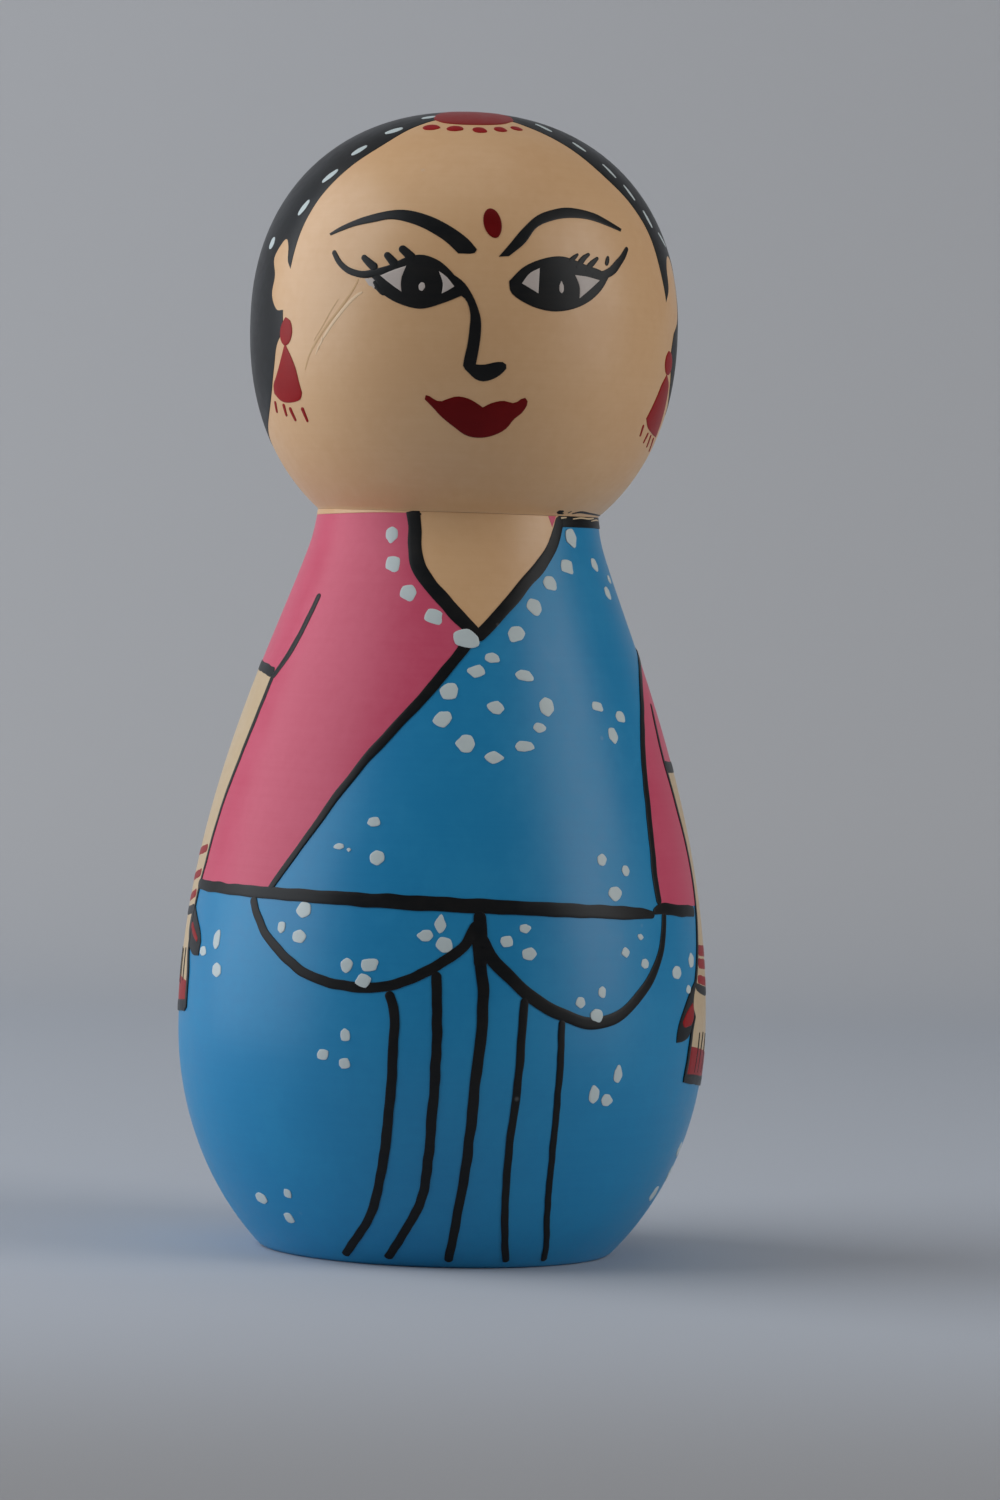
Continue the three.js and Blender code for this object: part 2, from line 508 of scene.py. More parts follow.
class Painter:
    """Lays paint on one turning and makes it ride on the turning's body."""

    EDGE_STEP = 0.5
    STROKE_STEP = 0.4
    ACROSS = (-1.0, -0.82, -0.45, 0.0, 0.45, 0.82, 1.0)  # where points lie across a stroke
    CAPS = (0.0, 0.06, 0.2, 0.45, 0.75, 1.0)  # and along its round ends
    LEAST_END = 0.0004  # keeps the very end of a stroke from closing up
    FULL_HALF = 0.25  # half width from which a stroke has its full thickness
    SWAY_SEED = 500
    DOT_POINTS = 30
    DOT_RINGS = (1.0, 0.95, 0.85, 0.5)
    DOT_SIDES = (4, 7)  # the fewest sides of a dot, and one more than the most
    DOT_UNEVEN = 0.04
    CORNER_SPREAD = 0.42  # radians to each side over which a corner is drawn out
    FULL_DOT = 1.4  # size from which a dot has its full thickness

    def __init__(self, surface: TurnedSurface, body: str) -> None:
        """Takes up the brush for a turning.

        Args:
            surface: The turning's outside.
            body: The body that the paint rides on.
        """
        self.surface = surface
        self.body = body
        self.strokes_made = 0

    def hang(self, piece: bpy.types.Object, finish: "Finish") -> None:
        """Gives a piece its finish and its body, and reports it.

        Args:
            piece: The piece.
            finish: Its paint.
        """
        piece.data.materials.append(finish.material())
        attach(piece, self.body)
        log.info("%s: %d faces on %s", piece.name, len(piece.data.polygons), self.body)

    def join(self, name: str, parts: list[tuple[np.ndarray, Faces]], finish: "Finish") -> None:
        """Makes one piece of several parts.

        Args:
            name: The piece's name.
            parts: The points in metres and the faces of each part.
            finish: The paint.
        """
        faces: Faces = []
        start = 0
        for points, sides in parts:
            faces += [tuple(i + start for i in side) for side in sides]
            start += len(points)
        self.hang(new_piece(name, np.vstack([points for points, _ in parts]), faces), finish)

    def area(
        self,
        name: str,
        edges: list[list[Place]],
        finish: "Finish",
        coat: Coat = Coat.GROUND,
        load: Load = THIN,
        spacing: float = 0.7,
        crown: bool = False,
    ) -> None:
        """Paints a filled shape.

        Args:
            name: The piece's name.
            edges: The outline as smooth edges that meet at corners. Each edge starts where the
                last one ended, or a short straight side joins them.
            finish: The paint.
            coat: Which coat it is.
            load: How thick it lies.
            spacing: The distance between the mesh's points.
            crown: Whether it lies over the top of the turning.
        """
        every = np.array([place for edge in edges for place in edge], float)
        chart = CrownChart(self.surface) if crown else SideChart(self.surface, every)
        drawn = [chart.draw(np.array(edge, float)) for edge in edges]
        self.fill(name, drawn, chart, finish, coat, load, spacing)

    def fill(
        self,
        name: str,
        drawn: list[np.ndarray],
        chart: Chart,
        finish: "Finish",
        coat: Coat,
        load: Load,
        spacing: float,
    ) -> None:
        """Paints a filled shape whose edges are drawn on a chart.

        Args:
            name: The piece's name.
            drawn: The outline's edges, in the chart's millimetres.
            chart: The chart.
            finish: The paint.
            coat: Which coat it is.
            load: How thick it lies.
            spacing: The distance between the mesh's points.
        """
        step = min(spacing, self.EDGE_STEP)
        runs = [smooth_curve(edge, step) if len(edge) > 2 else straight(edge, step) for edge in drawn]
        outline = np.vstack(runs)
        gaps = np.linalg.norm(outline - np.roll(outline, 1, axis=0), axis=1)
        outline = outline[gaps > 1e-3]
        flat, triangles = fill_outline(outline, load.rim, spacing)
        reach = np.clip(edge_distance(flat, outline) / load.rim, 0, 1)
        lifts = coat.value + load.thickness * np.sqrt(1 - (1 - reach) ** 2)
        angles, arcs = chart.wrap(flat)
        top = self.surface.place(angles, arcs, lifts)
        under = self.surface.place(angles, arcs, np.full(len(flat), SINK))
        count = len(flat)
        faces: Faces = [tuple(t) for t in triangles.tolist()]
        sides = {(a, b) for t in faces for a, b in zip(t, t[1:] + t[:1])}
        faces += [tuple(i + count for i in reversed(t)) for t in faces]
        faces += [(b, a, a + count, b + count) for a, b in sides if (b, a) not in sides]
        self.hang(new_piece(name, np.vstack([top, under]), faces), finish)

    def lines(
        self, name: str, strokes: list[Stroke], finish: "Finish", coat: Coat = Coat.LINE, load: Load = FULL
    ) -> None:
        """Paints one or more strokes as one piece.

        Args:
            name: The piece's name.
            strokes: The strokes.
            finish: The paint.
            coat: Which coat they are.
            load: How thick they lie.
        """
        first = self.strokes_made + 1
        self.strokes_made += len(strokes)
        parts = [self.one_stroke(stroke, coat, load, seed) for seed, stroke in enumerate(strokes, first)]
        self.join(name, parts, finish)

    def one_stroke(self, stroke: Stroke, coat: Coat, load: Load, seed: int) -> tuple[np.ndarray, Faces]:
        """Shapes one stroke: a low dome along its line, with round ends.

        Args:
            stroke: The stroke.
            coat: Which coat it is.
            load: How thick it lies.
            seed: Which hand wobble it has.

        Returns:
            Its points in metres and its faces.
        """
        rows = stroke.rows()
        chart = SideChart(self.surface, rows)
        line = smooth_curve(np.column_stack([chart.draw(rows), rows[:, 2]]), self.STROKE_STEP)
        far = run_lengths(line)
        end = far[-1]
        caps = np.array(self.CAPS)
        stations = np.concatenate([
            np.linspace(0, end, max(3, math.ceil(end / self.STROKE_STEP) + 1)),
            caps * line[0, 2] / 2,
            end - caps * line[-1, 2] / 2,
        ])
        stations = np.unique(np.round(np.clip(stations, 0, end), 3))
        x, arcs, widths = (np.interp(stations, far, column) for column in line.T)
        angles = x / chart.scale
        radii = self.surface.radius(arcs)
        along = np.stack([np.gradient(angles, stations) * radii, np.gradient(arcs, stations)], axis=1)
        along /= np.maximum(np.linalg.norm(along, axis=1, keepdims=True), 1e-9)
        left = np.stack([-along[:, 1], along[:, 0]], axis=1)
        half = widths / 2 * (1 + stroke.unsteady * Wobble(seed).at(stations))
        sway = stroke.unsteady * Wobble(seed + self.SWAY_SEED).at(stations) * np.minimum(widths, 1.0)
        near = np.minimum((end - stations) / (line[-1, 2] / 2), 1)
        if not stroke.square_start:
            near = np.minimum(near, stations / (line[0, 2] / 2))
        half *= np.sqrt(np.maximum(1 - (1 - near) ** 2, self.LEAST_END))

        def beside(shift: np.ndarray, lifts: np.ndarray) -> np.ndarray:
            """Returns points some way to the left of the line and above the wood."""
            return self.surface.place(angles + left[:, 0] * shift / radii, arcs + left[:, 1] * shift, lifts)

        rings = []
        for share in self.ACROSS:
            shift = sway - share * half
            fullness = np.minimum(1, half / self.FULL_HALF)
            dome = coat.value + load.thickness * math.sqrt(1 - share**4) * fullness
            rings.append(beside(shift, dome))
        low = np.full(len(stations), SINK)
        rings.append(beside(sway - half, low))
        rings.append(beside(sway + half, low))
        points = np.stack(rings, axis=1)
        ring = points.shape[1]
        faces: Faces = []
        for i in range(len(stations) - 1):
            for j in range(ring):
                k = (j + 1) % ring
                faces.append((i * ring + j, i * ring + k, (i + 1) * ring + k, (i + 1) * ring + j))
        faces.append(tuple(range(ring))[::-1])
        faces.append(tuple(range((len(stations) - 1) * ring, len(stations) * ring)))
        return points.reshape(-1, 3), faces

    def dots(
        self,
        name: str,
        dots: list[Dot],
        finish: "Finish",
        coat: Coat = Coat.DETAIL,
        load: Load = FULL,
        seed: int = 1,
    ) -> None:
        """Paints one or more dots as one piece.

        Args:
            name: The piece's name.
            dots: The dots.
            finish: The paint.
            coat: Which coat they are.
            load: How thick they lie.
            seed: Where the small differences between them start from.
        """
        draw = np.random.default_rng(seed)
        self.join(name, [self.one_dot(dot, coat, load, draw) for dot in dots], finish)

    def one_dot(
        self, dot: Dot, coat: Coat, load: Load, draw: np.random.Generator
    ) -> tuple[np.ndarray, Faces]:
        """Shapes one dot: a low flat-topped island with rounded corners.

        Args:
            dot: The dot.
            coat: Which coat it is.
            load: How thick it lies.
            draw: Where its own small differences come from.

        Returns:
            Its points in metres and its faces.
        """
        count = self.DOT_POINTS
        turns = np.linspace(0, TURN, count, endpoint=False)
        side = TURN / int(draw.integers(*self.DOT_SIDES))
        facet = (turns + draw.uniform(0, side)) % side - side / 2
        uneven = 1 + dot.faceted * (math.cos(side / 2) / np.cos(facet) - 0.9)
        uneven += self.DOT_UNEVEN * np.cos(2 * turns + draw.uniform(0, TURN))
        apart = np.angle(np.exp(1j * (turns - math.radians(dot.corner))))
        uneven += dot.drawn * np.exp(-((apart / self.CORNER_SPREAD) ** 2)) - 0.06 * dot.drawn
        across, up = uneven * np.cos(turns) * dot.wide / 2, uneven * np.sin(turns) * dot.tall / 2
        lean = math.radians(dot.tilt)
        x = across * math.cos(lean) - up * math.sin(lean)
        y = across * math.sin(lean) + up * math.cos(lean)
        rise = math.sqrt(min(1.0, min(dot.wide, dot.tall) / self.FULL_DOT))
        rings = [(x, y, np.full(count, SINK))]
        for share in self.DOT_RINGS:
            height = coat.value + load.thickness * rise * math.sqrt(1 - share**8)
            rings.append((x * share, y * share, np.full(count, height)))
        rings.append((np.zeros(1), np.zeros(1), np.full(1, coat.value + load.thickness * rise)))
        middle = float(self.surface.arc(dot.height))
        radius = float(self.surface.radius(middle))
        points = [
            self.surface.place(math.radians(dot.angle) + across / radius, middle + up, lifts)
            for across, up, lifts in rings
        ]
        faces: Faces = []
        for base in range(0, (len(rings) - 2) * count, count):
            for i in range(count):
                j = (i + 1) % count
                faces.append((base + i, base + j, base + count + j, base + count + i))
        last = (len(rings) - 2) * count
        faces += [(last + i, last + (i + 1) % count, last + count) for i in range(count)]
        faces.append(tuple(range(count - 1, -1, -1)))
        return np.vstack(points), faces


def straight(ends: np.ndarray, step: float) -> np.ndarray:
    """Returns evenly spaced points on a straight side between two flat places."""
    count = max(2, math.ceil(float(np.linalg.norm(ends[1] - ends[0])) / step) + 1)
    return np.linspace(ends[0], ends[1], count)


# --- Finishes -----------------------------------------------------------------------------------


def linear(red: int, green: int, blue: int) -> Colour:
    """Returns a paint chart's colour, 0 to 255, as the linear colour that a shader takes."""
    shares = (value / 255 for value in (red, green, blue))
    return tuple(s / 12.92 if s <= 0.04045 else ((s + 0.055) / 1.055) ** 2.4 for s in shares)


class Bench:
    """Places and joins the nodes of one material or group."""

    def __init__(self, tree: bpy.types.NodeTree) -> None:
        """Keeps the tree that nodes are added to."""
        self.tree = tree

    def add(self, kind: str, **settings: object) -> bpy.types.Node:
        """Adds a node.

        Args:
            kind: Its type.
            settings: Its settings, by name.

        Returns:
            The node.
        """
        node = self.tree.nodes.new(kind)
        for name, value in settings.items():
            setattr(node, name, value)
        return node

    def feed(self, socket: bpy.types.NodeSocket, value: object) -> None:
        """Joins a socket to another, or sets its own value.

        Args:
            socket: The input socket.
            value: An output socket, or the value.
        """
        if isinstance(value, bpy.types.NodeSocket):
            self.tree.links.new(value, socket)
        else:
            socket.default_value = value

    def maths(self, operation: str, *values: object) -> bpy.types.NodeSocket:
        """Adds a Math node.

        Args:
            operation: What it works out.
            values: Sockets or numbers for its inputs.

        Returns:
            Its result.
        """
        node = self.add("ShaderNodeMath", operation=operation)
        for socket, value in zip(node.inputs, values):
            self.feed(socket, value)
        return node.outputs[0]

    def blend(self, share: object, one: object, other: object) -> bpy.types.NodeSocket:
        """Mixes two colours.

        Args:
            share: How much of the other colour there is.
            one: The first colour.
            other: The other colour.

        Returns:
            The mixed colour.
        """
        node = self.add("ShaderNodeMix", data_type="RGBA")
        self.feed(node.inputs[0], share)
        self.feed(node.inputs[6], one)
        self.feed(node.inputs[7], other)
        return node.outputs[2]

    def ramp(self, value: object, low: float, high: float) -> bpy.types.NodeSocket:
        """Stretches a value, with a soft start and end.

        Args:
            value: The value.
            low: What becomes 0.
            high: What becomes 1.

        Returns:
            The stretched value.
        """
        node = self.add("ShaderNodeMapRange", interpolation_type="SMOOTHSTEP")
        self.feed(node.inputs["Value"], value)
        node.inputs["From Min"].default_value = low
        node.inputs["From Max"].default_value = high
        return node.outputs[0]

    def noise(self, vector: object, scale: object, detail: float = 2.0) -> bpy.types.NodeSocket:
        """Adds a noise texture.

        Args:
            vector: The place that it is read at.
            scale: Its waves in each metre.
            detail: How many finer layers it has.

        Returns:
            Its value.
        """
        node = self.add("ShaderNodeTexNoise")
        self.feed(node.inputs["Vector"], vector)
        self.feed(node.inputs["Scale"], scale)
        node.inputs["Detail"].default_value = detail
        return node.outputs[0]


def open_group(name: str, inputs: dict[str, str], outputs: dict[str, str]) -> tuple[Bench, dict, dict]:
    """Starts a shader node group.

    Args:
        name: The group's name.
        inputs: Each input's name and kind of socket.
        outputs: Each output's name and kind of socket.

    Returns:
        The group's bench, its input sockets by name, and its output sockets by name.
    """
    tree = bpy.data.node_groups.new(name, "ShaderNodeTree")
    for label, kind in inputs.items():
        tree.interface.new_socket(label, in_out="INPUT", socket_type=kind)
    for label, kind in outputs.items():
        tree.interface.new_socket(label, in_out="OUTPUT", socket_type=kind)
    bench = Bench(tree)
    given = bench.add("NodeGroupInput")
    result = bench.add("NodeGroupOutput")
    return bench, {k: given.outputs[k] for k in inputs}, {k: result.inputs[k] for k in outputs}


VECTOR = "NodeSocketVector"
VALUE = "NodeSocketFloat"
COLOUR = "NodeSocketColor"


class Effects:
    """The shader groups that the finishes share. Each is built when it is first asked for."""

    @staticmethod
    def rings() -> bpy.types.NodeTree:
        """Fine rings that the lathe leaves round a turning, uneven in depth and spacing.

        Returns:
            The group's tree.
        """
        name = "Turning rings"
        if name in bpy.data.node_groups:
            return bpy.data.node_groups[name]
        bench, given, result = open_group(
            name, {"Place": VECTOR, "Rings per metre": VALUE}, {"Height": VALUE, "Shade": VALUE}
        )
        axes = bench.add("ShaderNodeSeparateXYZ")
        bench.feed(axes.inputs[0], given["Place"])
        squash = bench.add("ShaderNodeCombineXYZ")
        for axis in range(2):
            bench.feed(squash.inputs[axis], bench.maths("MULTIPLY", axes.outputs[axis], 0.012))
        bench.feed(squash.inputs[2], axes.outputs[2])
        fine = bench.noise(squash.outputs[0], given["Rings per metre"], 3.0)
        broad = bench.noise(squash.outputs[0], 160.0, 1.0)
        bench.feed(result["Height"], bench.maths("MULTIPLY_ADD", broad, 0.8, fine))
        bench.feed(result["Shade"], bench.ramp(fine, 0.32, 0.68))
        return bench.tree

    @staticmethod
    def clouding() -> bpy.types.NodeTree:
        """Soft unevenness of a coat: thicker and thinner parts, and fine brush marks.

        Returns:
            The group's tree.
        """
        name = "Coat clouding"
        if name in bpy.data.node_groups:
            return bpy.data.node_groups[name]
        bench, given, result = open_group(
            name,
            {"Place": VECTOR, "Full": COLOUR, "Thin": COLOUR, "Amount": VALUE},
            {"Colour": COLOUR, "Thinness": VALUE},
        )
        patches = bench.noise(given["Place"], 110.0, 3.0)
        grain = bench.noise(given["Place"], 900.0)
        both = bench.maths("MULTIPLY_ADD", grain, 0.45, patches)
        thin = bench.ramp(both, 0.55, 0.95)
        bench.feed(result["Thinness"], thin)
        share = bench.maths("MULTIPLY", thin, given["Amount"])
        bench.feed(result["Colour"], bench.blend(share, given["Full"], given["Thin"]))
        return bench.tree

    @staticmethod
    def specks() -> bpy.types.NodeTree:
        """Tiny raised grains of dust caught in the lacquer, with a few pale ones.

        Returns:
            The group's tree.
        """
        name = "Dust specks"
        if name in bpy.data.node_groups:
            return bpy.data.node_groups[name]
        bench, given, result = open_group(
            name, {"Place": VECTOR, "Grains per metre": VALUE}, {"Height": VALUE, "Mask": VALUE}
        )
        cells = bench.add("ShaderNodeTexVoronoi")
        bench.feed(cells.inputs["Vector"], given["Place"])
        bench.feed(cells.inputs["Scale"], given["Grains per metre"])
        near = bench.maths("SUBTRACT", 1.0, bench.ramp(cells.outputs["Distance"], 0.05, 0.16))
        chosen = bench.add("ShaderNodeSeparateColor")
        bench.feed(chosen.inputs[0], cells.outputs["Color"])
        few = bench.ramp(chosen.outputs[0], 0.86, 0.88)
        fewer = bench.ramp(chosen.outputs[1], 0.9, 0.92)
        height = bench.maths("MULTIPLY", near, few)
        bench.feed(result["Height"], height)
        bench.feed(result["Mask"], bench.maths("MULTIPLY", height, fewer))
        return bench.tree


def new_material(name: str) -> tuple[bpy.types.Material, Bench, bpy.types.Node, bpy.types.NodeSocket]:
    """Starts a material with a Principled shader.

    Args:
        name: The material's name.

    Returns:
        The material, its bench, its shader, and the place on the piece in metres.
    """
    made = bpy.data.materials.new(name)
    made.use_nodes = True
    made.node_tree.nodes.clear()
    bench = Bench(made.node_tree)
    shader = bench.add("ShaderNodeBsdfPrincipled")
    output = bench.add("ShaderNodeOutputMaterial")
    bench.feed(output.inputs["Surface"], shader.outputs[0])
    return made, bench, shader, bench.add("ShaderNodeTexCoord").outputs["Object"]


class Finish(ABC):
    """A material of the doll, made once."""

    name: str
    slot: str

    def material(self) -> bpy.types.Material:
        """Builds the finish's material the first time that it is asked for.

        Returns:
            The material.
        """
        if self.name in bpy.data.materials:
            return bpy.data.materials[self.name]
        made, bench, shader, place = new_material(self.name)
        self.dress(bench, shader, place)
        return made

    @abstractmethod
    def dress(self, bench: Bench, shader: bpy.types.Node, place: bpy.types.NodeSocket) -> None:
        """Feeds the shader's sockets.

        Args:
            bench: The material's bench.
            shader: Its Principled shader.
            place: The place on the piece, in metres.
        """

    @staticmethod
    def group(bench: Bench, tree: bpy.types.NodeTree, **values: object) -> bpy.types.Node:
        """Places a group in a material.

        Args:
            bench: The material's bench.
            tree: The group's tree.
            values: A value or socket for each input, by its name with _ for a space.

        Returns:
            The group's node.
        """
        node = bench.add("ShaderNodeGroup", node_tree=tree)
        for label, value in values.items():
            bench.feed(node.inputs[label.replace("_", " ")], value)
        return node


@dataclass(frozen=True)
class Paint(Finish):
    """Satin lacquer paint, brushed on or laid on the lathe."""

    name: str
    slot: str
    full: Colour
    thin: Colour
    clouding: float = 0.5
    gloss_low: float = 0.33
    gloss_high: float = 0.42
    rings_per_metre: float = 2600.0
    ring_shade: float = 0.16
    ring_depth: float = 0.35
    grains_per_metre: float = 420.0
    grain_height: float = 0.6
    dust: float = 0.25  # how pale the palest grains are
    specular: float = 0.4
    relief: float = 0.35
    relief_depth: float = 0.00002

    def dress(self, bench: Bench, shader: bpy.types.Node, place: bpy.types.NodeSocket) -> None:
        """Feeds the shader with clouded colour, satin gloss, lathe rings and dust."""
        full, thin = (*self.full, 1), (*self.thin, 1)
        pale = (*(0.5 * c + 0.3 for c in self.full), 1)
        rings = self.group(bench, Effects.rings(), Place=place, Rings_per_metre=self.rings_per_metre)
        cloud = self.group(bench, Effects.clouding(), Place=place, Full=full, Thin=thin, Amount=self.clouding)
        dust = self.group(bench, Effects.specks(), Place=place, Grains_per_metre=self.grains_per_metre)
        shade = bench.maths("MULTIPLY", rings.outputs["Shade"], self.ring_shade)
        ringed = bench.blend(shade, cloud.outputs["Colour"], thin)
        speckled = bench.blend(bench.maths("MULTIPLY", dust.outputs["Mask"], self.dust), ringed, pale)
        bench.feed(shader.inputs["Base Color"], speckled)
        span = self.gloss_high - self.gloss_low
        rough = bench.maths("MULTIPLY_ADD", cloud.outputs["Thinness"], span, self.gloss_low)
        bench.feed(shader.inputs["Roughness"], rough)
        shader.inputs["Specular IOR Level"].default_value = self.specular
        height = bench.maths("MULTIPLY", rings.outputs["Height"], self.ring_depth)
        height = bench.maths("MULTIPLY_ADD", dust.outputs["Height"], self.grain_height, height)
        bump = bench.add("ShaderNodeBump")
        bump.inputs["Strength"].default_value = self.relief
        bump.inputs["Distance"].default_value = self.relief_depth
        bench.feed(bump.inputs["Height"], height)
        bench.feed(shader.inputs["Normal"], bump.outputs[0])


@dataclass(frozen=True)
class TurnedWood(Finish):
    """Pale close-grained hardwood, bare from the lathe."""

    name: str = "turned_wood"
    slot: str = "bare_wood"
    pale: Colour = linear(214, 184, 142)
    dark: Colour = linear(176, 138, 94)
    along_grain: float = 0.08
    rings_per_metre: float = 180.0
    distortion: float = 3.0
    pores_per_metre: float = 2600.0
    tool_marks_per_metre: float = 1800.0
    relief: float = 0.5
    relief_depth: float = 0.00005

    def dress(self, bench: Bench, shader: bpy.types.Node, place: bpy.types.NodeSocket) -> None:
        """Feeds the shader with long grain, pores and lathe rings."""
        stretch = bench.add("ShaderNodeMapping")
        bench.feed(stretch.inputs["Vector"], place)
        stretch.inputs["Scale"].default_value = (1.0, 1.0, self.along_grain)
        wave = bench.add("ShaderNodeTexWave", wave_type="RINGS", rings_direction="Y")
        bench.feed(wave.inputs["Vector"], stretch.outputs[0])
        wave.inputs["Scale"].default_value = self.rings_per_metre
        wave.inputs["Distortion"].default_value = self.distortion
        wave.inputs["Detail"].default_value = 2.0
        pores = bench.noise(stretch.outputs[0], self.pores_per_metre)
        grain = bench.maths("MULTIPLY_ADD", pores, 0.5, bench.maths("MULTIPLY", wave.outputs["Fac"], 0.6))
        bench.feed(shader.inputs["Base Color"], bench.blend(grain, (*self.pale, 1), (*self.dark, 1)))
        rings = self.group(bench, Effects.rings(), Place=place, Rings_per_metre=self.tool_marks_per_metre)
        bench.feed(shader.inputs["Roughness"], bench.maths("MULTIPLY_ADD", pores, 0.2, 0.6))
        bump = bench.add("ShaderNodeBump")
        bump.inputs["Strength"].default_value = self.relief
        bump.inputs["Distance"].default_value = self.relief_depth
        bench.feed(bump.inputs["Height"], bench.maths("ADD", rings.outputs["Height"], grain))
        bench.feed(shader.inputs["Normal"], bump.outputs[0])


SKIN = Paint("cream_lacquer", "skin_paint", linear(228, 184, 137), linear(220, 172, 123), specular=0.5)
ARM = Paint("pale_cream_lacquer", "skin_paint", linear(214, 188, 150), linear(204, 176, 136), specular=0.4)
# Pale worn paint, which also serves as the painted highlight on the scratch's lit ridge.
SCUFF_AND_HIGHLIGHT = Paint("scuffed_and_highlight_lacquer", "skin_paint", linear(236, 202, 160), linear(226, 190, 146), specular=0.5)
# Darker brown that is painted shade inside the scratch's grooves.
SCRATCH_SHADE = Paint("scratch_painted_shade", "skin_paint", linear(213, 172, 124), linear(206, 162, 114), specular=0.3)
BLUE = Paint("blue_lacquer", "blue_paint", linear(30, 136, 188), linear(36, 146, 196), specular=0.38)
PINK = Paint("pink_lacquer", "pink_paint", linear(212, 82, 110), linear(220, 98, 124), specular=0.26)
BLACK = Paint("black_lacquer", "black_paint", linear(17, 20, 23), linear(40, 36, 32), clouding=0.3,
              specular=0.2)
RED = Paint("red_lacquer", "red_paint", linear(150, 12, 16), linear(170, 26, 28), specular=0.16)
DULL_RED = Paint("dull_red_lacquer", "red_paint", linear(138, 26, 22), linear(156, 40, 34), specular=0.2)
DEEP_RED = Paint("deep_red_lacquer", "red_paint", linear(104, 6, 9), linear(124, 14, 16), specular=0.14)
WHITE = Paint("white_lacquer", "white_paint", linear(208, 219, 218), linear(196, 206, 207), dust=0.0,
              specular=0.25)
# White eye paint, also used for the painted highlights in the pupils.
EYE_WHITE_AND_HIGHLIGHT = Paint("eye_white_and_highlight_lacquer", "white_paint", linear(204, 192, 184), linear(192, 180, 172), specular=0.25)
WOOD = TurnedWood()


# --- The head -----------------------------------------------------------------------------------


@dataclass
class HeadTurning:
    """The ball of the head, cream all over, with a bead of lacquer round its lower edge."""

    surface: TurnedSurface
    bead_drop: float = 0.125
    bead_width: float = 0.7
    bead_start: float = 0.3  # width over which it leaves the seat
    bead_inset: float = 0.07

    def build(self) -> None:
        """Turns the head again with a smooth outline, in place of its CAD node."""
        rim = float(self.surface.radii[0])
        low = self.surface.foot - self.bead_drop
        inner = rim - self.bead_width
        lip = ((inner - self.bead_start, self.surface.foot), (inner, low), (rim - self.bead_inset, low))
        piece = self.surface.turn("head_turning", lip)
        piece.data.materials.append(SKIN.material())
        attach(piece, "head")
        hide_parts("head")
        log.info("head_turning: %d faces", len(piece.data.polygons))


